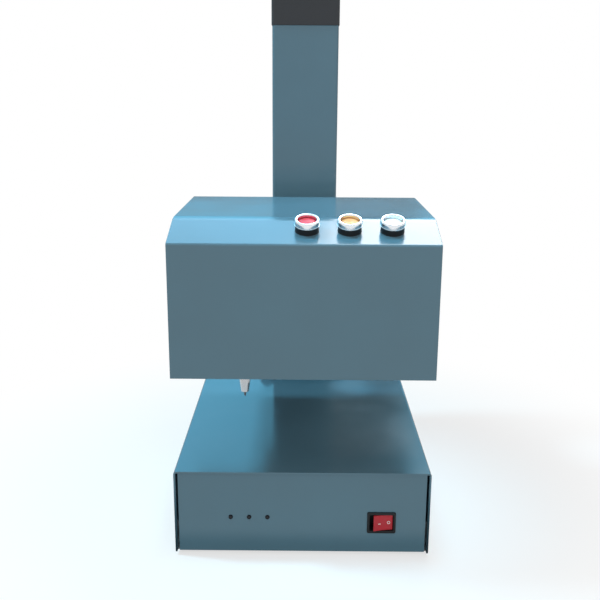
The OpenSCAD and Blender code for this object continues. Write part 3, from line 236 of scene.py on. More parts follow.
SLOT_FINISH = {
    "case_paint": "stoved blue enamel", "panel_paint": "stoved blue enamel",
    "zinc_steel": "zinc plated steel", "black_steel": "black oxide steel",
    "motor_black": "black stove enamel", "black_aluminium": "black anodised aluminium",
    "plain_aluminium": "milled aluminium", "ground_steel": "ground steel",
    "carbide": "sintered carbide", "chrome_ring": "bright chrome", "bronze": "turned brass",
    "black_rubber": "moulded rubber", "black_plastic": "glass filled nylon",
    "guide_acetal": "natural acetal", "board_green": "green solder mask",
    "lamp_plastic": "smoked lamp lens", "red_plastic": "red acrylic lens",
    "switch_red": "red switch nylon", "amber_plastic": "amber acrylic lens",
    "white_plastic": "clear acrylic lens",
}


def tone(source):
    """Linear colour of a hex value, or of a colour setting made lighter or darker."""
    if isinstance(source, str):
        return linear(source)
    group, setting, factor = source
    return tuple(min(1.0, c * factor) for c in getattr(getattr(bpy.context.scene, group), setting))


def surface(name, look):
    """Material whose tone and gloss drift in patches and whose relief has a real grain."""
    material, tree = empty_tree(name)
    coords = add_node(tree, "ShaderNodeTexCoord").outputs["Object"]
    place = add_node(tree, "ShaderNodeMapping", {
        "Vector": coords, "Scale": tuple(1.0 / s for s in look.stretch)}).outputs["Vector"]
    drift = add_node(tree, "ShaderNodeTexNoise", {
        "Vector": coords, "Scale": 1 / (look.patch * MM), "Detail": 4.0}).outputs["Fac"]
    fine = add_node(tree, "ShaderNodeTexNoise", {
        "Vector": place, "Scale": 1 / (look.grain * MM), "Detail": 2.0}).outputs["Fac"]
    shade = add_node(tree, "ShaderNodeMix", {
        0: drift, 6: (*tone(look.base), 1.0), 7: (*tone(look.tint), 1.0)}, data_type="RGBA")
    blend = add_node(tree, "ShaderNodeMath", {0: drift, 1: fine}, operation="MULTIPLY")
    least, greatest = look.roughness
    gloss = add_node(tree, "ShaderNodeMapRange", {
        "Value": blend.outputs["Value"], "From Min": 0.12, "From Max": 0.4,
        "To Min": least, "To Max": greatest})
    bump = add_node(tree, "ShaderNodeBump", {
        "Height": fine, "Distance": look.relief * MM, "Strength": 1.0})
    shader = add_node(tree, "ShaderNodeBsdfPrincipled", {
        "Base Color": shade.outputs[2], "Roughness": gloss.outputs["Result"],
        "Normal": bump.outputs["Normal"], **look.sockets})
    add_node(tree, "ShaderNodeOutputMaterial", {"Surface": shader.outputs["BSDF"]})
    return material


def finish(name):
    """Material of a finish, made the first time it is asked for."""
    return bpy.data.materials.get(name) or surface(name, FINISHES[name])


def corners(node):
    """Lowest and highest corner of a CAD node in millimetres."""
    return tuple(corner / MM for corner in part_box(node))


def block(lo, hi):
    """Box between two corners."""
    shape = bmesh.new()
    lo, hi = Vector(lo), Vector(hi)
    place = Matrix.Translation((lo + hi) / 2) @ Matrix.Diagonal((*(hi - lo), 1.0))
    bmesh.ops.create_cube(shape, size=1.0, matrix=place)
    return shape


def sharp_edges(shape, angle=0.5):
    """Edges where two faces meet at more than an angle."""
    return [e for e in shape.edges if len(e.link_faces) == 2 and e.calc_face_angle() > angle]


def soften(shape, radius, segments=3, edges=None):
    """Round the given edges, or all the sharp ones."""
    picked = sharp_edges(shape) if edges is None else edges
    bmesh.ops.bevel(shape, geom=picked, offset=radius, offset_type="OFFSET", segments=segments,
                    profile=0.5, affect="EDGES", clamp_overlap=True, material=-1)
    return shape


def new_verts(result):
    """Vertices that an extrusion made."""
    return [part for part in result["geom"] if isinstance(part, bmesh.types.BMVert)]


def turned(profile, steps=64, closed=False):
    """Shape turned about Z from points of radius and height."""
    shape = bmesh.new()
    points = [shape.verts.new((r, 0, z)) for r, z in profile]
    pairs = list(zip(points, points[1:]))
    if closed:
        pairs.append((points[-1], points[0]))
    lines = [shape.edges.new(pair) for pair in pairs]
    bmesh.ops.spin(shape, geom=points + lines, cent=(0, 0, 0), axis=(0, 0, 1), angle=TURN,
                   steps=steps, use_merge=True)
    bmesh.ops.remove_doubles(shape, verts=shape.verts[:], dist=MERGE)
    bmesh.ops.dissolve_degenerate(shape, edges=shape.edges[:], dist=MERGE)
    bmesh.ops.recalc_face_normals(shape, faces=shape.faces[:])
    return shape


def drawn(outline, depth):
    """Outline in X and Y drawn out along Z."""
    shape = bmesh.new()
    face = shape.faces.new([shape.verts.new((x, y, 0)) for x, y in outline])
    grown = bmesh.ops.extrude_face_region(shape, geom=[face])
    bmesh.ops.translate(shape, vec=(0, 0, depth), verts=new_verts(grown))
    bmesh.ops.recalc_face_normals(shape, faces=shape.faces[:])
    return shape


def wound(section, turns, pitch, steps=24):
    """Section in X and Z wound about Z as a helix."""
    shape = bmesh.new()
    points = [shape.verts.new((r, 0, z)) for r, z in section]
    lines = [shape.edges.new(pair) for pair in zip(points, points[1:] + points[:1])]
    count = int(turns * steps)
    bmesh.ops.spin(shape, geom=points + lines, cent=(0, 0, 0), axis=(0, 0, 1), angle=TURN * turns,
                   steps=count, dvec=(0, 0, pitch * turns / count), use_merge=False)
    ends = [e for e in shape.edges if e.is_boundary]
    bmesh.ops.holes_fill(shape, edges=ends, sides=len(section))
    bmesh.ops.recalc_face_normals(shape, faces=shape.faces[:])
    return shape


def thread_section(root, crest, low, pitch, flank):
    """Section of a thread whose two flanks each take a share of the pitch."""
    crest_end = 0.6
    return [(root, low), (crest, low + flank * pitch), (crest, low + crest_end * pitch),
            (root, low + (crest_end + flank) * pitch)]


def round_outline(radius, steps=24):
    """Points around a circle, or the corners of a hexagon with six steps."""
    return [(radius * math.cos(TURN * k / steps), radius * math.sin(TURN * k / steps))
            for k in range(steps)]


def soft_outline(width, height, radius, steps=4):
    """Points around a rectangle with rounded corners, in the same order for every size."""
    points = []
    for quarter, (sx, sy) in enumerate(((1, 1), (-1, 1), (-1, -1), (1, -1))):
        for step in range(steps + 1):
            angle = (quarter + step / steps) * TURN / 4
            points.append((sx * (width / 2 - radius) + radius * math.cos(angle),
                           sy * (height / 2 - radius) + radius * math.sin(angle)))
    return points


def cross_outline(reach, half):
    """Points around an upright cross."""
    points = [(reach, -half), (reach, half), (half, half)]
    for _ in range(3):
        points += [(-y, x) for x, y in points[-3:]]
    return points


def scaled(outline, wide, tall):
    """Outline made narrower or lower."""
    return [(x * wide, y * tall) for x, y in outline]


def round_levels(points, steps=24):
    """Round outlines at their heights, from points of radius and height."""
    return [(round_outline(radius, steps), height) for radius, height in points]


def soft_levels(rows):
    """Rounded rectangles at their heights, from rows of width, height, corner and level."""
    return [(soft_outline(width, height, radius), level) for width, height, radius, level in rows]


def stacked(levels):
    """Closed shape through outlines at their heights, each joined to the one before it."""
    shape = bmesh.new()
    loops = []
    for outline, height in levels:
        verts = [shape.verts.new((x, y, height)) for x, y in outline]
        loops.append([shape.edges.new(pair) for pair in zip(verts, verts[1:] + verts[:1])])
    for lower, upper in zip(loops, loops[1:]):
        bmesh.ops.bridge_loops(shape, edges=lower + upper)
    for end in (loops[0], loops[-1]):
        bmesh.ops.edgeloop_fill(shape, edges=end)
    bmesh.ops.recalc_face_normals(shape, faces=shape.faces[:])
    return shape


def moved(shape, matrix):
    """Shape after a move or turn."""
    bmesh.ops.transform(shape, matrix=matrix, verts=shape.verts[:])
    return shape


def placed(shapes, matrix, look=0):
    """Shapes after a move or turn, each with the number of its finish."""
    return [(moved(shape, matrix), look) for shape in shapes]


def facing(direction, place):
    """Matrix that points Z along a direction and moves the origin to a place."""
    return Matrix.Translation(place) @ Vector(direction).to_track_quat("Z", "Y").to_matrix().to_4x4()


def outward(node):
    """Matrix that stands a piece on the rear panel at the end of a CAD node, with its Y upwards."""
    lo, hi = corners(node)
    turn = Matrix(((-1, 0, 0, 0), (0, 0, 1, 0), (0, 1, 0, 0), (0, 0, 0, 1)))
    return Matrix.Translation(((lo.x + hi.x) / 2, hi.y, (lo.z + hi.z) / 2)) @ turn


def on_axis(node):
    """Matrix that moves a piece turned about Z to the upright axis of a CAD node."""
    lo, hi = corners(node)
    return Matrix.Translation(((lo.x + hi.x) / 2, (lo.y + hi.y) / 2, 0))


# Dome of a pan head: radius and height as shares of the head's.
PAN_DOME = ((0.9, 0.0), (1.0, 0.12), (1.0, 0.4), (0.92, 0.68), (0.78, 0.88), (0.62, 0.98))


def pan_screw(radius, height, shank, reach):
    """Screw with a domed head that stands on the origin and a cross recess."""
    head = stacked([
        *round_levels([(radius * wide, height * level) for wide, level in PAN_DOME]),
        (cross_outline(radius * 0.52, radius * 0.15), height),
        (cross_outline(radius * 0.4, radius * 0.1), height * 0.35)])
    stem = turned([(0, -reach), (shank * 0.7, -reach), (shank, -reach + 1.0), (shank, 0.1), (0, 0.1)], 16)
    return [head, stem]


def socket_screw(radius, height, key, shank, reach):
    """Screw with a cylinder head that stands on the origin and a hexagon socket."""
    across = key / 2 / math.cos(TURN / 12)
    head = stacked([
        *round_levels([(radius - 0.3, 0.0), (radius, 0.3), (radius, height - 0.7),
                       (radius - 0.2, height - 0.25), (radius - 0.7, height)]),
        *round_levels([(across + 0.25, height), (across, height - 0.25), (across, height * 0.5)], 6)])
    stem = turned([(0, -reach), (shank * 0.75, -reach), (shank, -reach + 1.2), (shank, 0.1), (0, 0.1)], 20)
    return [head, stem]


def make_piece(name, shapes, body, finishes, nodes):
    """Join shapes, each with the number of its finish, into a piece that rides on a body."""
    whole = bmesh.new()
    for shape, look in shapes:
        for face in shape.faces:
            face.material_index = look
            face.smooth = True
        scratch = bpy.data.meshes.new("scratch")
        shape.to_mesh(scratch)
        shape.free()
        whole.from_mesh(scratch)
        bpy.data.meshes.remove(scratch)
    bmesh.ops.scale(whole, vec=(MM, MM, MM), verts=whole.verts[:])
    mesh = bpy.data.meshes.new(name)
    whole.to_mesh(mesh)
    whole.free()
    mesh.set_sharp_from_angle(angle=SMOOTH_ANGLE)
    for name_of_finish in finishes:
        mesh.materials.append(finish(name_of_finish))
    piece = bpy.data.objects.new(name, mesh)
    bpy.context.scene.collection.objects.link(piece)
    even = piece.modifiers.new("even shading", "WEIGHTED_NORMAL")
    even.keep_sharp = True
    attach(piece, body)
    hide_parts(*nodes)
    return piece


def add_wall(piece, thickness):
    """Give an open sheet its thickness, inwards, with crisp rims."""
    sheet = bmesh.new()
    sheet.from_mesh(piece.data)
    for edge in sheet.edges:
        if edge.is_boundary:
            edge.smooth = False
    sheet.to_mesh(piece.data)
    sheet.free()
    wall = piece.modifiers.new("sheet", "SOLIDIFY")
    wall.thickness = thickness
    wall.offset = -1.0
    wall.use_even_offset = True
    piece.modifiers.move(piece.modifiers.find("sheet"), 0)


class MARKER_OT_stage(bpy.types.Operator):
    """Set up the camera, the pale floor and the soft studio light"""
    bl_idname = "marker.stage"
    bl_label = "Stage"

    # place, aim and width of each disk in metres, the setting with its watts, and its tint
    LAMPS = {
        "light from the left": ((-1.25, 0.02, 1.6), (0, -0.05, 0.2), 0.22, "key_power", (0.42, 0.83, 1.0)),
        "light behind": ((0.5, 1.9, 2.1), (0, 0, 0.3), 1.0, "back_power", (0.9, 0.97, 1.0)),
        "light in front": ((0.4, -2.4, 1.1), (0, 0, 0.3), 1.8, "fill_power", (1.0, 1.0, 1.0)),
    }
    BEAM_PLACE = (0.05, -0.08, 2.0)
    BEAM_TINT = (0.34, 0.78, 1.0)
    BEAM_ANGLE = math.radians(15)
    BEAM_BLEND = 0.7
    BEAM_SOFTNESS = 0.12
    WHITE = (1.0, 1.0, 1.0, 1.0)
    # what the floor throws back on to the machine, and its shade beside the case in a mirror
    DIM_FLOOR = (0.22, 0.24, 0.25, 1.0)
    CASE_SHADE = (0.07, 0.075, 0.08, 1.0)
    # metres from the case within which that shade lies and by which it has gone
    SHADE_SPAN = (0.018, 0.055)
    # share of plain white in the floor around the machine, and the metres over which it grows to all
    GLOW_LEAST = 0.6
    GLOW_SPAN = (0.25, 0.6)
    FLOOR_RADIUS = 30.0
    SKY_RADIUS = 8.0
    SKY_TONES = {
        "haze": (0.3, 0.26, 0.22, 1.0), "blue": (0.3, 1.2, 1.8, 1.0), "dark": (0.04, 0.05, 0.06, 1.0),
        "bright": (1.5, 3.0, 4.2, 1.0), "glare": (9.0, 9.0, 9.0, 1.0), "even": (0.85, 0.92, 0.96, 1.0),
    }
    # each share of the sky: what it is measured on, where it starts and where it is full
    SKY_SHARES = {
        "right of dark": ("bearing", -0.05, -0.01), "left of dark": ("bearing", 0.172, 0.148),
        "glare on right": ("bearing", 0.015, 0.09), "above haze": ("height", 0.17, 0.28),
        "overhead": ("height", 0.5, 0.6), "beside": ("turn", 0.7, 1.3),
    }
    # each layer of the sky: its name, its share, and the tones it goes from and to
    SKY_LAYERS = (
        ("middle", "dark band", "blue", "dark"), ("high", "glare on right", "bright", "glare"),
        ("low", "above haze", "haze", "middle"), ("back", "overhead", "low", "high"),
        ("whole", "beside", "back", "even"),
    )

    def execute(self, context):
        scene = context.scene
        stage = scene.marker_stage
        scene.view_settings.view_transform = "Standard"
        self.add_camera(scene, stage)
        self.add_floor(scene, stage)
        self.add_sky(scene)
        for name, (place, aim, width, power, tint) in self.LAMPS.items():
            disk = bpy.data.lights.new(name, "AREA")
            disk.shape = "DISK"
            disk.size = width
            lamp = self.add_light(scene, disk, place, getattr(stage, power), tint)
            lamp.rotation_euler = (Vector(aim) - Vector(place)).to_track_quat("-Z", "Y").to_euler()
            lamp.visible_camera = False
        # narrow light from straight above, which falls on the head's top
        beam = bpy.data.lights.new("light above", "SPOT")
        beam.spot_size = self.BEAM_ANGLE
        beam.spot_blend = self.BEAM_BLEND
        beam.shadow_soft_size = self.BEAM_SOFTNESS
        self.add_light(scene, beam, self.BEAM_PLACE, stage.beam_power, self.BEAM_TINT)
        self.add_world(scene, stage)
        return {"FINISHED"}

    def add_camera(self, scene, stage):
        data = bpy.data.cameras.new("camera")
        data.lens = stage.lens
        data.sensor_width = stage.sensor
        camera = bpy.data.objects.new("camera", data)
        camera.location = stage.camera
        swing = Matrix.Rotation(stage.swing, 4, "Z")
        level = Matrix.Rotation(math.pi / 2 - stage.tilt, 4, "X")
        roll = Matrix.Rotation(stage.roll, 4, "Z")
        camera.rotation_euler = (swing @ level @ roll).to_euler()
        scene.collection.objects.link(camera)
        scene.camera = camera

    def add_light(self, scene, data, place, power, tint):
        data.energy = power
        data.color = tint
        light = bpy.data.objects.new(data.name, data)
        light.location = place
        light.visible_glossy = False
        scene.collection.objects.link(light)
        return light

    def add_sheet(self, scene, name, shape, material):
        mesh = bpy.data.meshes.new(name)
        shape.to_mesh(mesh)
        shape.free()
        mesh.materials.append(material)
        sheet = bpy.data.objects.new(name, mesh)
        scene.collection.objects.link(sheet)
        return sheet

    def seen_rays(self, tree):
        """One for rays that show the background: from the camera, a mirror or clear plastic."""
        path = add_node(tree, "ShaderNodeLightPath").outputs
        seen = path["Is Camera Ray"]
        for other in ("Is Glossy Ray", "Is Transmission Ray"):
            seen = add_node(tree, "ShaderNodeMath", {0: seen, 1: path[other]},
                            operation="MAXIMUM").outputs["Value"]
        return seen

    def beside_case(self, tree, coords):
        """One for mirrored rays that meet the floor close to the case, where it lies in shadow."""
        lo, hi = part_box("base_cover")
        half = (hi - lo) / 2
        away = add_node(tree, "ShaderNodeVectorMath", {0: coords}, operation="ABSOLUTE")
        for operation, other in (("SUBTRACT", (half.x, half.y, 0.0)), ("MAXIMUM", (0.0, 0.0, 0.0))):
            away = add_node(tree, "ShaderNodeVectorMath", {0: away.outputs["Vector"], 1: other},
                            operation=operation)
        gap = add_node(tree, "ShaderNodeVectorMath", {0: away.outputs["Vector"]}, operation="LENGTH")
        near = add_node(tree, "ShaderNodeMapRange", {
            "Value": gap.outputs["Value"], "From Min": self.SHADE_SPAN[0], "From Max": self.SHADE_SPAN[1],
            "To Min": 1.0, "To Max": 0.0}, interpolation_type="SMOOTHSTEP")
        path = add_node(tree, "ShaderNodeLightPath")
        mirrored = add_node(tree, "ShaderNodeMath", {
            0: near.outputs["Result"], 1: path.outputs["Is Glossy Ray"]}, operation="MULTIPLY")
        return mirrored.outputs["Value"]

    def add_floor(self, scene, stage):
        """Floor that shows white with a soft shadow and throws little light back."""
        material, tree = empty_tree("pale floor")
        coords = add_node(tree, "ShaderNodeTexCoord").outputs["Object"]
        dim = add_node(tree, "ShaderNodeBsdfDiffuse", {"Color": self.DIM_FLOOR}).outputs["BSDF"]
        pale = add_node(tree, "ShaderNodeBsdfDiffuse", {"Color": (*stage.floor, 1.0)}).outputs["BSDF"]
        white = add_node(tree, "ShaderNodeEmission", {"Color": self.WHITE}).outputs["Emission"]
        shade = add_node(tree, "ShaderNodeEmission", {"Color": self.CASE_SHADE}).outputs["Emission"]
        reach = add_node(tree, "ShaderNodeVectorMath", {0: coords}, operation="LENGTH")
        far = add_node(tree, "ShaderNodeMapRange", {
            "Value": reach.outputs["Value"], "From Min": self.GLOW_SPAN[0], "From Max": self.GLOW_SPAN[1],
            "To Min": self.GLOW_LEAST}, interpolation_type="SMOOTHSTEP").outputs["Result"]
        shown = pale
        for share, layer in ((far, white), (self.beside_case(tree, coords), shade)):
            shown = add_node(tree, "ShaderNodeMixShader", {0: share, 1: shown, 2: layer}).outputs["Shader"]
        both = add_node(tree, "ShaderNodeMixShader", {0: self.seen_rays(tree), 1: dim, 2: shown})
        add_node(tree, "ShaderNodeOutputMaterial", {"Surface": both.outputs["Shader"]})
        shape = bmesh.new()
        bmesh.ops.create_circle(shape, cap_ends=True, segments=96, radius=self.FLOOR_RADIUS)
        self.add_sheet(scene, "floor", shape, material)

    def add_sky(self, scene):
        """Sky that only reflections show: pale haze, blue behind on the left, glare on the right."""
        material, tree = empty_tree("reflected sky")
        coords = add_node(tree, "ShaderNodeTexCoord").outputs["Object"]
        aim = add_node(tree, "ShaderNodeVectorMath", {0: coords}, operation="NORMALIZE")
        axes = add_node(tree, "ShaderNodeSeparateXYZ", {"Vector": aim.outputs["Vector"]}).outputs
        bearing = add_node(tree, "ShaderNodeMath", {0: axes["X"], 1: axes["Y"]}, operation="ARCTAN2")
        turn = add_node(tree, "ShaderNodeMath", {0: bearing.outputs["Value"]}, operation="ABSOLUTE")
        measures = {"bearing": bearing.outputs["Value"], "turn": turn.outputs["Value"], "height": axes["Z"]}
        shares = {}
        for name, (measure, start, full) in self.SKY_SHARES.items():
            shares[name] = add_node(tree, "ShaderNodeMapRange", {
                "Value": measures[measure], "From Min": start, "From Max": full},
                interpolation_type="SMOOTHSTEP").outputs["Result"]
        shares["dark band"] = add_node(tree, "ShaderNodeMath", {
            0: shares["right of dark"], 1: shares["left of dark"]}, operation="MULTIPLY").outputs["Value"]
        tones = dict(self.SKY_TONES)
        for name, share, first, second in self.SKY_LAYERS:
            tones[name] = add_node(tree, "ShaderNodeMix", {
                0: shares[share], 6: tones[first], 7: tones[second]}, data_type="RGBA").outputs[2]
        light = add_node(tree, "ShaderNodeEmission", {"Color": tones["whole"]})
        add_node(tree, "ShaderNodeOutputMaterial", {"Surface": light.outputs["Emission"]})
        shape = bmesh.new()
        bmesh.ops.create_uvsphere(shape, u_segments=64, v_segments=32, radius=self.SKY_RADIUS)
        dome = self.add_sheet(scene, "sky", shape, material)
        dome.visible_camera = False
        dome.visible_diffuse = False
        dome.visible_shadow = False
        dome.visible_transmission = False

    def add_world(self, scene, stage):
        """White to the eye and in mirrors, and an even light of the set strength."""
        world = bpy.data.worlds.new("studio")
        world.use_nodes = True
        tree = world.node_tree
        tree.nodes.clear()
        power = add_node(tree, "ShaderNodeMapRange", {
            "Value": self.seen_rays(tree), "To Min": stage.ambient, "To Max": 1.0})
        sky = add_node(tree, "ShaderNodeBackground", {
            "Color": self.WHITE, "Strength": power.outputs["Result"]})
        add_node(tree, "ShaderNodeOutputWorld", {"Surface": sky.outputs["Background"]})
        scene.world = world


class MARKER_OT_finishes(bpy.types.Operator):
    """Give every CAD node the finish of its material slot"""
    bl_idname = "marker.finishes"
    bl_label = "Finishes"

    def execute(self, context):
        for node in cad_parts.values():
            for spot in node.material_slots:
                spot.material = finish(SLOT_FINISH[spot.material.name.split(".")[0]])
        return {"FINISHED"}


class MARKER_OT_covers(bpy.types.Operator):
    """Fold the head cover and the base cover from painted sheet"""
    bl_idname = "marker.covers"
    bl_label = "Covers"

    def execute(self, context):
        case = context.scene.marker_case
        self.fold_head(case)
        self.fold_base(case)
        return {"FINISHED"}

    def open_faces(self, shape, directions):
        """Take away the faces that look along the given directions."""
        gone = [f for f in shape.faces if any(f.normal.dot(Vector(d)) > 0.99 for d in directions)]
        bmesh.ops.delete(shape, geom=gone, context="FACES")

    def fold_head(self, case):
        lo, hi = corners("head_cover")
        shoulder = lo.z + case.front_height / MM
        slope_end = lo.y + case.slope_depth / MM
        outline = [(lo.y, lo.z), (lo.y, shoulder), (slope_end, hi.z), (hi.y, hi.z), (hi.y, lo.z)]
        shape = drawn(outline, hi.x - lo.x)
        # the outline's X and Y become the head's Y and Z, and the drawing runs along X
        moved(shape, Matrix(((0, 0, 1, lo.x), (1, 0, 0, 0), (0, 1, 0, 0), (0, 0, 0, 1))))
        bmesh.ops.recalc_face_normals(shape, faces=shape.faces[:])
        self.open_faces(shape, [(0, 1, 0), (0, 0, -1)])
        for y, radius in ((lo.y, case.front_bend), (slope_end, case.top_bend)):
            bend = [e for e in shape.edges if all(abs(v.co.y - y) < 0.01 for v in e.verts)
                    and abs(e.verts[0].co.x - e.verts[1].co.x) > 1 and e.verts[0].co.z > shoulder - 1]
            soften(shape, radius / MM, 6, bend)
        sides = [e for e in sharp_edges(shape) if any(abs(f.normal.x) > 0.99 for f in e.link_faces)]
        soften(shape, case.side_edge / MM, 3, sides)
        piece = make_piece("head_shell", [(shape, 0)], "carriage", ["stoved blue enamel"],
                           ["head_cover"])
        add_wall(piece, case.head_sheet)

    def fold_base(self, case):
        shape = block(*corners("base_cover"))
        self.open_faces(shape, [(0, 1, 0), (0, -1, 0), (0, 0, -1)])
        soften(shape, case.case_bend / MM, 6)
        piece = make_piece("base_shell", [(shape, 0)], "base", ["stoved blue enamel"],
                           ["base_cover"])
        add_wall(piece, case.base_sheet)


class MARKER_OT_push_buttons(bpy.types.Operator):
    """Build the three push buttons on the slope"""
    bl_idname = "marker.push_buttons"
    bl_label = "Push buttons"

    CAPS = (("red_lens", "red acrylic lens", "red_plastic", "red_cap", "red_button"),
            ("amber_lens", "amber acrylic lens", "amber_plastic", "yellow_cap", "yellow_button"),
            ("clear_lens", "clear acrylic lens", "white_plastic", "white_cap", "white_button"))

    def execute(self, context):
        case = context.scene.marker_case
        controls = context.scene.marker_controls
        lo, hi = corners("head_cover")
        shoulder = lo.z + case.front_height / MM
        rise = math.atan2(hi.z - shoulder, case.slope_depth / MM)
        run = controls.button_run / MM
        rings = []
        bodies = []
        for column, (name, look, slot, body, node) in enumerate(self.CAPS):
            x = (controls.button_x + column * controls.button_pitch) / MM
            place = Matrix.Translation((x, lo.y + run * math.cos(rise), shoulder + run * math.sin(rise)))
            place = place @ Matrix.Rotation(rise, 4, "X")
            rings += placed([self.ring(controls)], place)
            bodies += placed(self.body(case, controls), place)
            make_piece(name, placed([self.lens(controls)], place), body, [look], [node])
        make_piece("chrome_rings", rings, "carriage", ["bright chrome"], ["button_rings"])
        make_piece("button_barrels", bodies, "carriage", ["moulded black ABS"],
                   ["button_bodies"])
        return {"FINISHED"}

    def ring(self, controls):
        """Chrome ring with a lip at its foot and a wide rounded rim."""
        out = controls.ring_diameter / MM / 2
        side = out - 0.25
        bore = out - 3.4
        low = controls.collar_height / MM
        top = low + controls.ring_height / MM
        return turned([(bore, low), (out - 0.5, low), (out, low + 0.4), (out, low + 1.1),
                       (side, low + 1.3), (side, top - 2.4), (out - 0.4, top - 1.5),
                       (out - 0.8, top - 0.7), (out - 1.3, top - 0.2), (out - 1.9, top),
                       (out - 2.5, top - 0.15), (bore + 0.4, top - 0.5), (bore + 0.1, top - 0.9),
                       (bore, top - 1.4)], 96, closed=True)

    def body(self, case, controls):
        """Collar and barrel in one, the nut under the sheet, and the contact block in the barrel."""
        low = controls.collar_height / MM
        sheet = case.head_sheet / MM
        barrel, hollow, end = 11.0, 8.0, -26.0
        collar, guide, seat = 12.65, 9.4, -6.2
        nut_radius, nut_foot = 14.0, -sheet - 4.0
        housing = turned([
            (10.2, low), (collar - 0.3, low), (collar, low - 0.3), (collar, 0.5), (12.9, 0.0),
            (barrel, 0.0), (barrel, end + 0.4), (barrel - 0.4, end), (hollow, end), (hollow, seat),
            (guide, seat), (guide, 2.7), (10.2, 2.7)], 72, closed=True)
        nut = turned([(barrel, -sheet), (nut_radius, -sheet), (nut_radius, nut_foot), (barrel, nut_foot)],
                     6, closed=True)
        contacts = turned([(0, end + 0.8), (hollow + 0.2, end + 0.8), (hollow + 0.2, seat - 0.2),
                           (0, seat - 0.2)], 48)
        return [housing, soften(nut, 0.3, 2), contacts]

    def lens(self, controls):
        """Lens with a fine groove near its rim, and the plunger under it."""
        low = controls.collar_height / MM
        face = low + (controls.ring_height - controls.lens_drop) / MM
        radius, plunger, foot = 10.0, 9.2, -2.4
        return turned([(0, face), (4.5, face - 0.04), (7.4, face - 0.16), (7.7, face - 0.42),
                       (8.1, face - 0.42), (8.4, face - 0.22), (9.2, face - 0.42), (9.75, face - 0.9),
                       (radius, face - 1.7), (radius, low - 0.8), (plunger, low - 0.8),
                       (plunger, foot), (0, foot)], 72)


class MARKER_OT_power_switch(bpy.types.Operator):
    """Build the power switch with its rocker and marks"""
    bl_idname = "marker.power_switch"
    bl_label = "Power switch"

    def execute(self, context):
        lo, hi = corners("power_switch_housing")
        self.housing(lo, hi)
        self.rocker(lo, hi)
        return {"FINISHED"}

    def housing(self, lo, hi):
        """Snap-in housing with a rounded bezel and a pocket for the rocker."""
        wide, tall = hi.x - lo.x, hi.z - lo.z
        bezel, pocket_depth = 2.0, 16.0
        deep = hi.y - lo.y - bezel
        body = (wide - 3.2, tall - 2.1, 0.8)
        pocket = (26.4, 19.2, 0.8)
        shape = stacked(soft_levels([
            (*body, -deep), (*body, 0.0), (wide, tall, 1.6, 0.0), (wide, tall, 1.6, bezel - 0.7),
            (wide - 0.5, tall - 0.5, 1.5, bezel - 0.2), (wide - 1.3, tall - 1.3, 1.2, bezel),
            (27.2, 20.0, 1.0, bezel), (*pocket, bezel - 0.5), (*pocket, bezel - pocket_depth)]))
        moved(shape, facing((0, -1, 0), ((lo.x + hi.x) / 2, lo.y + bezel, (lo.z + hi.z) / 2)))
        make_piece("switch_bezel", [(shape, 0)], "base", ["moulded black ABS"],
                   ["power_switch_housing"])

    def rocker(self, lo, hi):
        """Dished rocker on its axle, with a dash and a ring as marks."""
        half, tall, face, dish = 11.2, 18.6, -9.0, 0.8
        axle_radius, axle_end = 1.5, 11.2
        rest_angle = math.radians(12)
        count = 12
        curve = []
        for step in range(count + 1):
            x = half * (2 * step / count - 1)
            curve.append((x, face + dish * (1 - (x / half) ** 2)))
        outline = curve + [(half - 1.8, -2.0), (3.0, 3.0), (-3.0, 3.0), (1.8 - half, -2.0)]
        blade = moved(drawn(outline, tall), Matrix.Translation((0, 0, -tall / 2)))
        soften(blade, 0.6, 3)
        axle = turned([(0, -axle_end), (axle_radius, -axle_end), (axle_radius, axle_end), (0, axle_end)], 24)
        dash = block((-5.6, face + 0.4, -1.3), (-2.8, face + 0.82, -0.5))
        ring = turned([(1.25, -0.3), (1.8, -0.3), (1.8, 0.3), (1.25, 0.3)], 32, closed=True)
        moved(ring, Matrix.Translation((6.4, face + 0.5, 0)) @ Matrix.Rotation(math.pi / 2, 4, "X"))
        place = Matrix.Translation(((lo.x + hi.x) / 2, lo.y - face, (lo.z + hi.z) / 2))
        place = place @ Matrix.Rotation(rest_angle, 4, "Z")
        make_piece("switch_rocker", placed([blade, axle], place) + placed([dash, ring], place, 1), "switch",
                   ["red switch nylon", "white ink"], ["power_switch_rocker"])


class MARKER_OT_lamps(bpy.types.Operator):
    """Build the indicator lamps"""
    bl_idname = "marker.lamps"
    bl_label = "Indicator lamps"

    def execute(self, context):
        lo, hi = corners("indicator_lamps")
        dome, flange, shoulder, proud = 2.4, 3.2, 0.6, 3.0
        count = 3
        curve = [(dome * math.sin(a), shoulder + dome * math.cos(a))
                 for a in (math.radians(15 * step) for step in range(7))]
        profile = curve + [(dome, 0.0), (2.5, 0.0), (2.5, -2.0), (flange, -2.0), (flange, -3.6),
                           (dome, -3.6), (dome, -9.0), (0, -9.0)]
        first, last = lo.x + flange, hi.x - flange
        shapes = []
        for step in range(count):
            x = first + (last - first) * step / (count - 1)
            place = facing((0, -1, 0), (x, lo.y + proud, (lo.z + hi.z) / 2))
            shapes += placed([turned(profile, 40)], place)
        make_piece("lamp_lenses", shapes, "base", ["smoked lamp lens"],
                   ["indicator_lamps"])
        return {"FINISHED"}


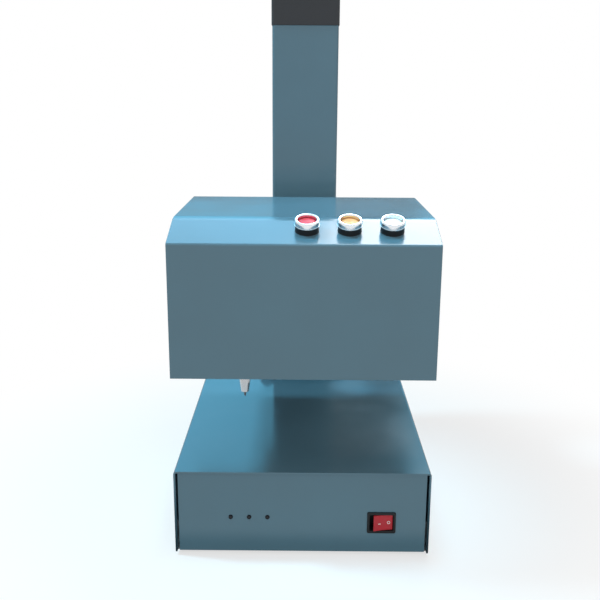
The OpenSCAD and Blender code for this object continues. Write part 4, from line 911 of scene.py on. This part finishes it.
class MARKER_OT_stylus(bpy.types.Operator):
    """Build the stylus nozzle, the pin and the return spring"""
    bl_idname = "marker.stylus"
    bl_label = "Stylus"

    def execute(self, context):
        drive = context.scene.marker_drive
        axis = on_axis("stylus_nozzle")
        self.nozzle(axis)
        self.pin(axis)
        self.spring(axis, drive)
        return {"FINISHED"}

    def nozzle(self, axis):
        """Conical nozzle with a groove around its shank."""
        lo, hi = corners("stylus_nozzle")
        bore, shank, chamber = 1.3, 5.75, 4.6
        floor = corners("return_spring")[0].z
        cone = lo.z + 11.6
        shape = turned([(bore, lo.z), (3.9, lo.z), (4.35, lo.z + 0.5), (5.6, cone - 0.7),
                        (shank, cone), (shank, cone + 3.8), (5.5, cone + 4.0), (5.5, cone + 4.8),
                        (shank, cone + 5.0), (shank, hi.z - 0.4), (5.4, hi.z), (chamber, hi.z),
                        (chamber, floor), (bore, floor)], 72, closed=True)
        make_piece("nozzle", placed([shape], axis), "marker", ["ground steel"],
                   ["stylus_nozzle"])

    def pin(self, axis):
        """Pin with its piston, and a seal in the piston's groove."""
        tip, crown = corners("stylus_pin")
        seat = corners("return_spring")[1].z
        shank, piston, groove = 1.2, 4.5, 3.9
        shape = turned([(0, tip.z), (0.2, tip.z), (shank, tip.z + 2.2), (shank, seat),
                        (piston - 0.2, seat), (piston, seat + 0.2), (piston, seat + 6.6),
                        (groove, seat + 6.6), (groove, seat + 9.4), (piston, seat + 9.4),
                        (piston, crown.z - 0.3), (4.2, crown.z), (0, crown.z)], 48)
        seal = turned([(3.7, seat + 6.8), (4.45, seat + 7.2), (piston, seat + 8.0), (4.45, seat + 8.8),
                       (3.7, seat + 9.2)], 48, closed=True)
        make_piece("pin", placed([shape], axis) + placed([seal], axis, 1), "pin",
                   ["sintered carbide", "moulded rubber"], ["stylus_pin"])

    def spring(self, axis, drive):
        """Coil spring of the set wire and turns, wound over the length of its CAD node."""
        lo, hi = corners("return_spring")
        wire = drive.spring_wire / MM / 2
        turns = drive.spring_turns
        coil_radius = 3.3
        free = hi.z - lo.z
        section = [(coil_radius + x, lo.z + wire + z) for x, z in round_outline(wire, 8)]
        coil = wound(section, turns, (free - 2 * wire) / turns)
        spring = make_piece("coil_spring", placed([coil], axis), "marker", ["ground steel"],
                            ["return_spring"])
        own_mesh(spring)


class MARKER_OT_screws(bpy.types.Operator):
    """Build the cover screws, the foot bolts and the bracket screws"""
    bl_idname = "marker.screws"
    bl_label = "Screws and bolts"

    def execute(self, context):
        self.cover_screws("side_screws", "cover_screws", "base", along=3, up=1, reach=7.0)
        self.cover_screws("head_screws", "head_cover_screws", "carriage", along=2, up=2, reach=6.0)
        self.foot_bolts()
        self.bracket_screws()
        return {"FINISHED"}

    def spread(self, low, high, margin, count):
        """Even places between two ends."""
        if count == 1:
            return [(low + high) / 2]
        first, last = low + margin, high - margin
        return [first + (last - first) * step / (count - 1) for step in range(count)]

    def cover_screws(self, name, node, body, along, up, reach):
        """Rows of pan screws on both sides, each with its cross turned another way."""
        lo, hi = corners(node)
        radius, height, shank = 3.8, 2.2, 2.0
        twist = 0.31
        shapes = []
        for side, x in ((-1, lo.x + height), (1, hi.x - height)):
            for y in self.spread(lo.y, hi.y, radius, along):
                for z in self.spread(lo.z, hi.z, radius, up):
                    place = facing((side, 0, 0), (x, y, z)) @ Matrix.Rotation(twist * len(shapes), 4, "Z")
                    shapes += placed(pan_screw(radius, height, shank, reach), place)
        make_piece(name, shapes, body, ["zinc plated steel"], [node])

    def foot_bolts(self):
        """Socket bolts at the corners of the column's foot."""
        lo, hi = corners("foot_bolts")
        radius, height, key, shank = 6.5, 8.0, 7.0, 4.0
        twist = 0.4
        seat = hi.z - height
        shapes = []
        for x in (lo.x + radius, hi.x - radius):
            for y in (lo.y + radius, hi.y - radius):
                place = Matrix.Translation((x, y, seat)) @ Matrix.Rotation(twist * len(shapes), 4, "Z")
                shapes += placed(socket_screw(radius, height, key, shank, seat - lo.z), place)
        make_piece("socket_bolts", shapes, "base", ["black oxide steel"], ["foot_bolts"])

    def bracket_screws(self):
        """Socket screws from the bracket into the head and the sleeve, and those of the nut's arm."""
        lo, hi = corners("bracket_screws")
        large = {"radius": 5.0, "height": 6.0, "key": 5.0, "shank": 3.0}
        small = {"radius": 3.5, "height": 4.0, "key": 3.0, "shank": 2.0}
        head_x, head_y, head_reach = hi.x - large["radius"], lo.y + 17.0, 16.8
        sleeve_x, sleeve_y, sleeve_reach = 28.0, lo.y + 69.0, 17.8
        arm_x, arm_y, arm_reach = 5.5, hi.y - small["height"], 20.8
        rows = []
        for side in (-1, 1):
            for z in (lo.z + large["radius"], hi.z - large["radius"]):
                rows.append(((side * head_x, head_y, z), 1, large, head_reach))
                rows.append(((side * sleeve_x, sleeve_y, z), -1, large, sleeve_reach))
            rows.append(((side * arm_x, arm_y, (lo.z + hi.z) / 2), 1, small, arm_reach))
        shapes = []
        for spot, way, sizes, reach in rows:
            shapes += placed(socket_screw(reach=reach, **sizes), facing((0, way, 0), spot))
        make_piece("head_bolts", shapes, "carriage", ["black oxide steel"],
                   ["bracket_screws"])


class MARKER_OT_crank_grip(bpy.types.Operator):
    """Turn the crank's loose hand grip"""
    bl_idname = "marker.crank_grip"
    bl_label = "Crank grip"

    def execute(self, context):
        lo, hi = corners("crank_grip")
        tall = hi.z - lo.z
        bore = 5.1
        grip = turned([(bore, 0.4), (5.6, 0.0), (9.6, 0.0), (10.5, 0.5), (10.9, 1.6), (11.0, 4.0),
                       (10.9, 9.0), (11.0, 14.0), (11.6, 18.0), (12.4, 23.0), (12.9, 28.0), (13.0, 32.0),
                       (12.7, 37.0), (12.0, 42.0), (11.0, 47.0), (10.3, 51.0), (9.7, 54.6), (9.4, 57.0),
                       (8.9, 59.0), (7.9, tall - 0.4), (6.6, tall), (bore, tall - 0.3)], 64, closed=True)
        place = on_axis("crank_grip") @ Matrix.Translation((0, 0, lo.z))
        make_piece("hand_grip", placed([grip], place), "grip", ["moulded black ABS"],
                   ["crank_grip"])
        return {"FINISHED"}


class MARKER_OT_lift_screw(bpy.types.Operator):
    """Cut the thread of the lift screw"""
    bl_idname = "marker.lift_screw"
    bl_label = "Lift screw"

    def execute(self, context):
        pitch = context.scene.marker_drive.lift_pitch / MM
        lo, hi = corners("lift_screw")
        radius = (hi.x - lo.x) / 2
        root = radius - 1.9
        journal = 6.0
        low, high = lo.z + 9.0, hi.z - 28.0
        core = turned([(0, lo.z), (journal - 0.5, lo.z), (journal, lo.z + 0.5), (journal, low - 1.0),
                       (root, low), (root, high), (journal, high + 0.5), (journal, hi.z - 0.8),
                       (journal - 0.8, hi.z), (0, hi.z)], 40)
        section = thread_section(root - 0.2, radius, low, pitch, flank=0.28)
        thread = wound(section, (high - low) / pitch - 1.0, pitch, 20)
        make_piece("lift_thread", placed([core, thread], on_axis("lift_screw")), "crank",
                   ["ground steel"], ["lift_screw"])
        return {"FINISHED"}


class MARKER_OT_drive(bpy.types.Operator):
    """Build the drive screw, the toothed belt and the two motors"""
    bl_idname = "marker.drive"
    bl_label = "Head drive"

    def execute(self, context):
        drive = context.scene.marker_drive
        self.drive_screw(drive)
        self.belt(drive)
        self.motor("x_stepper", "x_motor", "gantry", boss=0.0, bolts_behind=False)
        self.motor("y_stepper", "y_motor", "carriage", boss=2.0, bolts_behind=True)
        return {"FINISHED"}

    def drive_screw(self, drive):
        """Screw with threads side by side between two plain ends."""
        lo, hi = corners("y_screw")
        lead = drive.drive_lead / MM
        starts = drive.drive_starts
        width = lead / starts
        radius = (hi.z - lo.z) / 2
        root = radius - 0.9
        tall = hi.y - lo.y
        end = 6.0
        core = turned([(0, 0), (radius - 0.5, 0), (radius, 0.5), (radius, end), (root, end + 0.6),
                       (root, tall - end - 0.6), (radius, tall - end), (radius, tall - 0.5),
                       (radius - 0.5, tall), (0, tall)], 32)
        shapes = [core]
        section = thread_section(root - 0.1, radius, end, width, flank=0.26)
        for start in range(starts):
            thread = wound(section, (tall - 2 * end - width) / lead, lead, 20)
            shapes.append(moved(thread, Matrix.Rotation(TURN * start / starts, 4, "Z")))
        place = facing((0, 1, 0), ((lo.x + hi.x) / 2, lo.y, (lo.z + hi.z) / 2))
        make_piece("drive_thread", placed(shapes, place), "y_drive", ["ground steel"],
                   ["y_screw"])

    def belt(self, drive):
        """Flat loop with teeth inside along its two straight runs."""
        lo, hi = corners("x_belt")
        pitch = drive.tooth_pitch / MM
        tooth = pitch / 2
        radius = (hi.z - lo.z) / 2
        half = (hi.x - lo.x) / 2 - radius
        back, thick, overlap = 0.7, 1.3, 0.05
        centre = Vector(((lo.x + hi.x) / 2, lo.y, (lo.z + hi.z) / 2))
        band = bmesh.new()
        steps = 14
        points = []
        for side in (1, -1):
            for step in range(steps + 1):
                angle = math.pi * (step / steps - side / 2)
                points.append(band.verts.new((side * half + radius * math.cos(angle), 0,
                                              radius * math.sin(angle))))
        lines = [band.edges.new(pair) for pair in zip(points, points[1:] + points[:1])]
        grown = bmesh.ops.extrude_edge_only(band, edges=lines)
        bmesh.ops.translate(band, vec=(0, hi.y - lo.y, 0), verts=new_verts(grown))
        top = max(band.faces, key=lambda face: face.calc_center_median().z)
        if top.normal.z < 0:
            bmesh.ops.reverse_faces(band, faces=band.faces[:])
        bmesh.ops.solidify(band, geom=band.faces[:], thickness=back)
        bmesh.ops.recalc_face_normals(band, faces=band.faces[:])
        shapes = placed([band], Matrix.Translation(centre))
        for count in range(int(2 * half / pitch)):
            x = centre.x - half + (count + 0.5) * pitch
            for side in (-1, 1):
                ends = sorted(centre.z + side * (radius - depth) for depth in (thick, back - overlap))
                shapes.append((block((x - tooth / 2, lo.y, ends[0]), (x + tooth / 2, hi.y, ends[1])), 0))
        make_piece("toothed_belt", shapes, "gantry", ["moulded rubber"], ["x_belt"])

    def motor(self, name, node, body, boss, bolts_behind):
        """Stepper motor: a dark stack between pale end caps, with bolts in the free one."""
        lo, hi = corners(node)
        wide = hi.z - lo.z
        start = lo.y + boss
        tall = hi.y - start
        cap, corner, edge = 9.0, 4.5, 0.4
        bolt_spread, bolt_head = 15.5, 0.4
        shapes = []
        for low, high, size, look in ((0.0, cap, wide, 1), (cap, tall - cap, wide - 0.6, 0),
                                      (tall - cap, tall, wide, 1)):
            full = soft_outline(size, size, corner, 1)
            narrow = soft_outline(size - 2 * edge, size - 2 * edge, corner, 1)
            slab = stacked([(narrow, low), (full, low + edge), (full, high - edge), (narrow, high)])
            shapes.append((slab, look))
        if boss:
            collar = turned([(4.2, -boss), (10.6, -boss), (11.0, 0.4 - boss), (11.0, 0.2), (4.2, 0.2)],
                            48, closed=True)
            shapes.append((collar, 1))
        foot = tall - 0.2 if bolts_behind else -bolt_head
        for x in (-bolt_spread, bolt_spread):
            for y in (-bolt_spread, bolt_spread):
                bolt = turned([(0, 0.0), (2.6, 0.0), (2.6, 0.25), (2.2, bolt_head), (0, bolt_head)], 20)
                shapes += placed([bolt], Matrix.Translation((x, y, foot)), 2)
        place = facing((0, 1, 0), ((lo.x + hi.x) / 2, start, (lo.z + hi.z) / 2))
        make_piece(name, [(moved(shape, place), look) for shape, look in shapes], body,
                   ["black stove enamel", "milled aluminium", "black oxide steel"], [node])


class MARKER_OT_rear_services(bpy.types.Operator):
    """Build the mains inlet, the data connector and the air fitting"""
    bl_idname = "marker.rear_services"
    bl_label = "Rear services"

    def execute(self, context):
        self.inlet()
        self.data()
        self.air()
        return {"FINISHED"}

    def inlet(self):
        """Flanged mains inlet with three blades in its mouth and a screw at each end."""
        lo, hi = corners("power_inlet")
        wide, tall = hi.x - lo.x, hi.z - lo.z
        back, flange, screw_x = lo.y - hi.y, 2.5, 20.0
        floor = back + 8.0
        body = (28.0, 20.0, 1.0)
        mouth = (24.0, 16.0, 2.0)
        shell = stacked(soft_levels([
            (*body, back), (*body, -flange), (wide, tall, 4.0, -flange), (wide, tall, 4.0, -0.6),
            (wide - 1.0, tall - 1.0, 3.6, 0.0), (24.8, 16.8, 2.2, 0.0), (*mouth, -0.5), (*mouth, floor)]))
        metal = []
        for x, y in ((-7.0, -2.0), (0.0, 3.0), (7.0, -2.0)):
            blade = block((x - 1.0, y - 2.0, floor - 0.5), (x + 1.0, y + 2.0, floor + 7.0))
            metal.append(soften(blade, 0.5, 2))
        for x in (-screw_x, screw_x):
            screw = pan_screw(radius=2.9, height=1.5, shank=1.5, reach=6.0)
            metal += [moved(part, Matrix.Translation((x, 0, 0))) for part in screw]
        place = outward("power_inlet")
        make_piece("mains_inlet", placed([shell], place) + placed(metal, place, 1), "base",
                   ["moulded black ABS", "zinc plated steel"], ["power_inlet"])

    def data(self):
        """Data connector with a tapered shell, two rows of pins and a threaded post at each end."""
        lo, hi = corners("data_connector")
        wide, tall = hi.x - lo.x, hi.z - lo.z
        back, face = lo.y - hi.y, -5.0
        taper, pin_pitch, post_x = 0.012, 2.5, 12.3
        body = soft_outline(19.0, 12.0, 1.0)
        flange = soft_outline(wide, tall, 1.6)
        shell = [(x * (1.0 + taper * y), y) for x, y in soft_outline(15.8, 10.0, 2.4)]
        mouth = [(x * (1.0 + taper * y), y) for x, y in soft_outline(13.9, 8.1, 1.6)]
        plated = [stacked([
            (body, back), (body, face - 1.0), (flange, face - 1.0), (flange, face - 0.2),
            (soft_outline(wide - 0.6, tall - 0.6, 1.4), face), (shell, face), (shell, -0.3),
            (scaled(shell, 0.97, 0.97), 0.0), (mouth, 0.0), (mouth, -4.6)])]
        for x in (-post_x, post_x):
            post = stacked(round_levels([(2.6, face - 0.2), (2.6, -0.6), (2.1, -0.2)], 6)
                           + round_levels([(1.2, -0.2), (1.1, -2.5)], 12))
            plated.append(moved(post, Matrix.Translation((x, 0, 0))))
        filling = scaled(mouth, 0.97, 0.95)
        core = stacked([(filling, -4.8), (filling, -3.2)])
        pins = []
        for row, count in ((1.4, 5), (-1.4, 4)):
            for step in range(count):
                x = (step - (count - 1) / 2) * pin_pitch
                stem = turned([(0, -3.4), (0.5, -3.4), (0.5, -1.2), (0.3, -0.9), (0, -0.8)], 12)
                pins.append(moved(stem, Matrix.Translation((x, row, 0))))
        place = outward("data_connector")
        make_piece("data_port", placed(plated, place) + placed([core], place, 1) + placed(pins, place, 2),
                   "base", ["zinc plated steel", "moulded black ABS", "turned brass"],
                   ["data_connector"])

    def air(self):
        """Push-in air fitting: a brass body with a hexagon, and the black collet in its mouth."""
        lo, hi = corners("air_inlet_fitting")
        back = lo.y - hi.y
        brass = stacked(round_levels([(4.4, back), (4.8, back + 0.5), (4.8, -15.0)])
                        + round_levels([(7.7, -15.0), (8.4, -14.5), (8.4, -8.5), (7.7, -8.0)], 6)
                        + round_levels([(6.3, -8.0), (6.5, -7.7), (6.5, -3.5), (6.0, -3.0), (5.5, -3.0),
                                        (5.5, -4.0)]))
        collet = turned([(4.0, -9.0), (5.4, -4.2), (5.5, -0.5), (5.0, 0.0), (4.2, 0.0), (4.0, -0.3)], 40,
                        closed=True)
        place = outward("air_inlet_fitting")
        make_piece("air_port", placed([brass], place) + placed([collet], place, 1), "base",
                   ["turned brass", "moulded black ABS"], ["air_inlet_fitting"])


class MARKER_OT_feet(bpy.types.Operator):
    """Mould the rubber feet with their screws"""
    bl_idname = "marker.feet"
    bl_label = "Feet"

    def execute(self, context):
        lo, hi = corners("rubber_feet")
        radius, hollow = 11.0, 1.9
        tall = hi.z - lo.z
        shapes = []
        for x in (lo.x + radius, hi.x - radius):
            for y in (lo.y + radius, hi.y - radius):
                foot = turned([(0, tall), (radius - 0.4, tall), (radius, tall - 0.4), (10.5, 0.7),
                               (9.9, 0.1), (9.3, 0.0), (5.2, 0.0), (4.7, 0.4), (4.4, hollow), (0, hollow)],
                              48)
                screw = pan_screw(radius=3.2, height=1.5, shank=1.5, reach=1.5)
                shapes += placed([foot], Matrix.Translation((x, y, lo.z)))
                shapes += placed(screw, facing((0, 0, -1), (x, y, lo.z + hollow)), 1)
        make_piece("soft_feet", shapes, "base", ["moulded rubber", "zinc plated steel"],
                   ["rubber_feet"])
        return {"FINISHED"}


class MARKER_OT_edges(bpy.types.Operator):
    """Break the sharp edges of the CAD nodes that are still shown"""
    bl_idname = "marker.edges"
    bl_label = "Broken edges"

    # millimetres within which the loose triangles join, and the angles that count as flat and as sharp
    JOIN = 0.002
    FLAT = math.radians(0.4)
    SHARP = math.radians(40)

    def execute(self, context):
        width = context.scene.marker_case.edge
        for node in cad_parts.values():
            if node.hide_render:
                continue
            weld = node.modifiers.new("joined", "WELD")
            weld.merge_threshold = self.JOIN * MM
            flat = node.modifiers.new("flat faces", "DECIMATE")
            flat.decimate_type = "DISSOLVE"
            flat.angle_limit = self.FLAT
            broken = node.modifiers.new("broken edges", "BEVEL")
            broken.width = width
            broken.segments = 2
            broken.limit_method = "ANGLE"
            broken.angle_limit = self.SHARP
            broken.use_clamp_overlap = True
            even = node.modifiers.new("even shading", "WEIGHTED_NORMAL")
            even.keep_sharp = True
        return {"FINISHED"}


PIECES = (MARKER_OT_stage, MARKER_OT_finishes, MARKER_OT_covers, MARKER_OT_push_buttons,
          MARKER_OT_power_switch, MARKER_OT_lamps, MARKER_OT_stylus, MARKER_OT_screws,
          MARKER_OT_crank_grip, MARKER_OT_lift_screw, MARKER_OT_drive, MARKER_OT_rear_services,
          MARKER_OT_feet, MARKER_OT_edges)
SETTINGS = {"marker_case": CaseSettings, "marker_controls": ControlSettings,
            "marker_drive": DriveSettings, "marker_stage": StageSettings}


class MARKER_PT_pieces(bpy.types.Panel):
    """Sizes, colours and pieces of the marker"""
    bl_idname = "MARKER_PT_pieces"
    bl_label = "Dot peen marker"
    bl_space_type = "VIEW_3D"
    bl_region_type = "UI"
    bl_category = "Marker"

    def draw(self, context):
        for name, group in SETTINGS.items():
            box = self.layout.box()
            for key in group.__annotations__:
                box.prop(getattr(context.scene, name), key)
        for piece in PIECES:
            self.layout.operator(piece.bl_idname)


def register():
    for kind in (*SETTINGS.values(), *PIECES, MARKER_PT_pieces):
        bpy.utils.register_class(kind)
    for name, group in SETTINGS.items():
        setattr(bpy.types.Scene, name, PointerProperty(type=group))


def unregister():
    for name in SETTINGS:
        delattr(bpy.types.Scene, name)
    for kind in (MARKER_PT_pieces, *reversed(PIECES), *SETTINGS.values()):
        bpy.utils.unregister_class(kind)


def main():
    register()
    for piece in PIECES:
        group, name = piece.bl_idname.split(".")
        getattr(getattr(bpy.ops, group), name)()


if __name__ == "__main__":
    main()
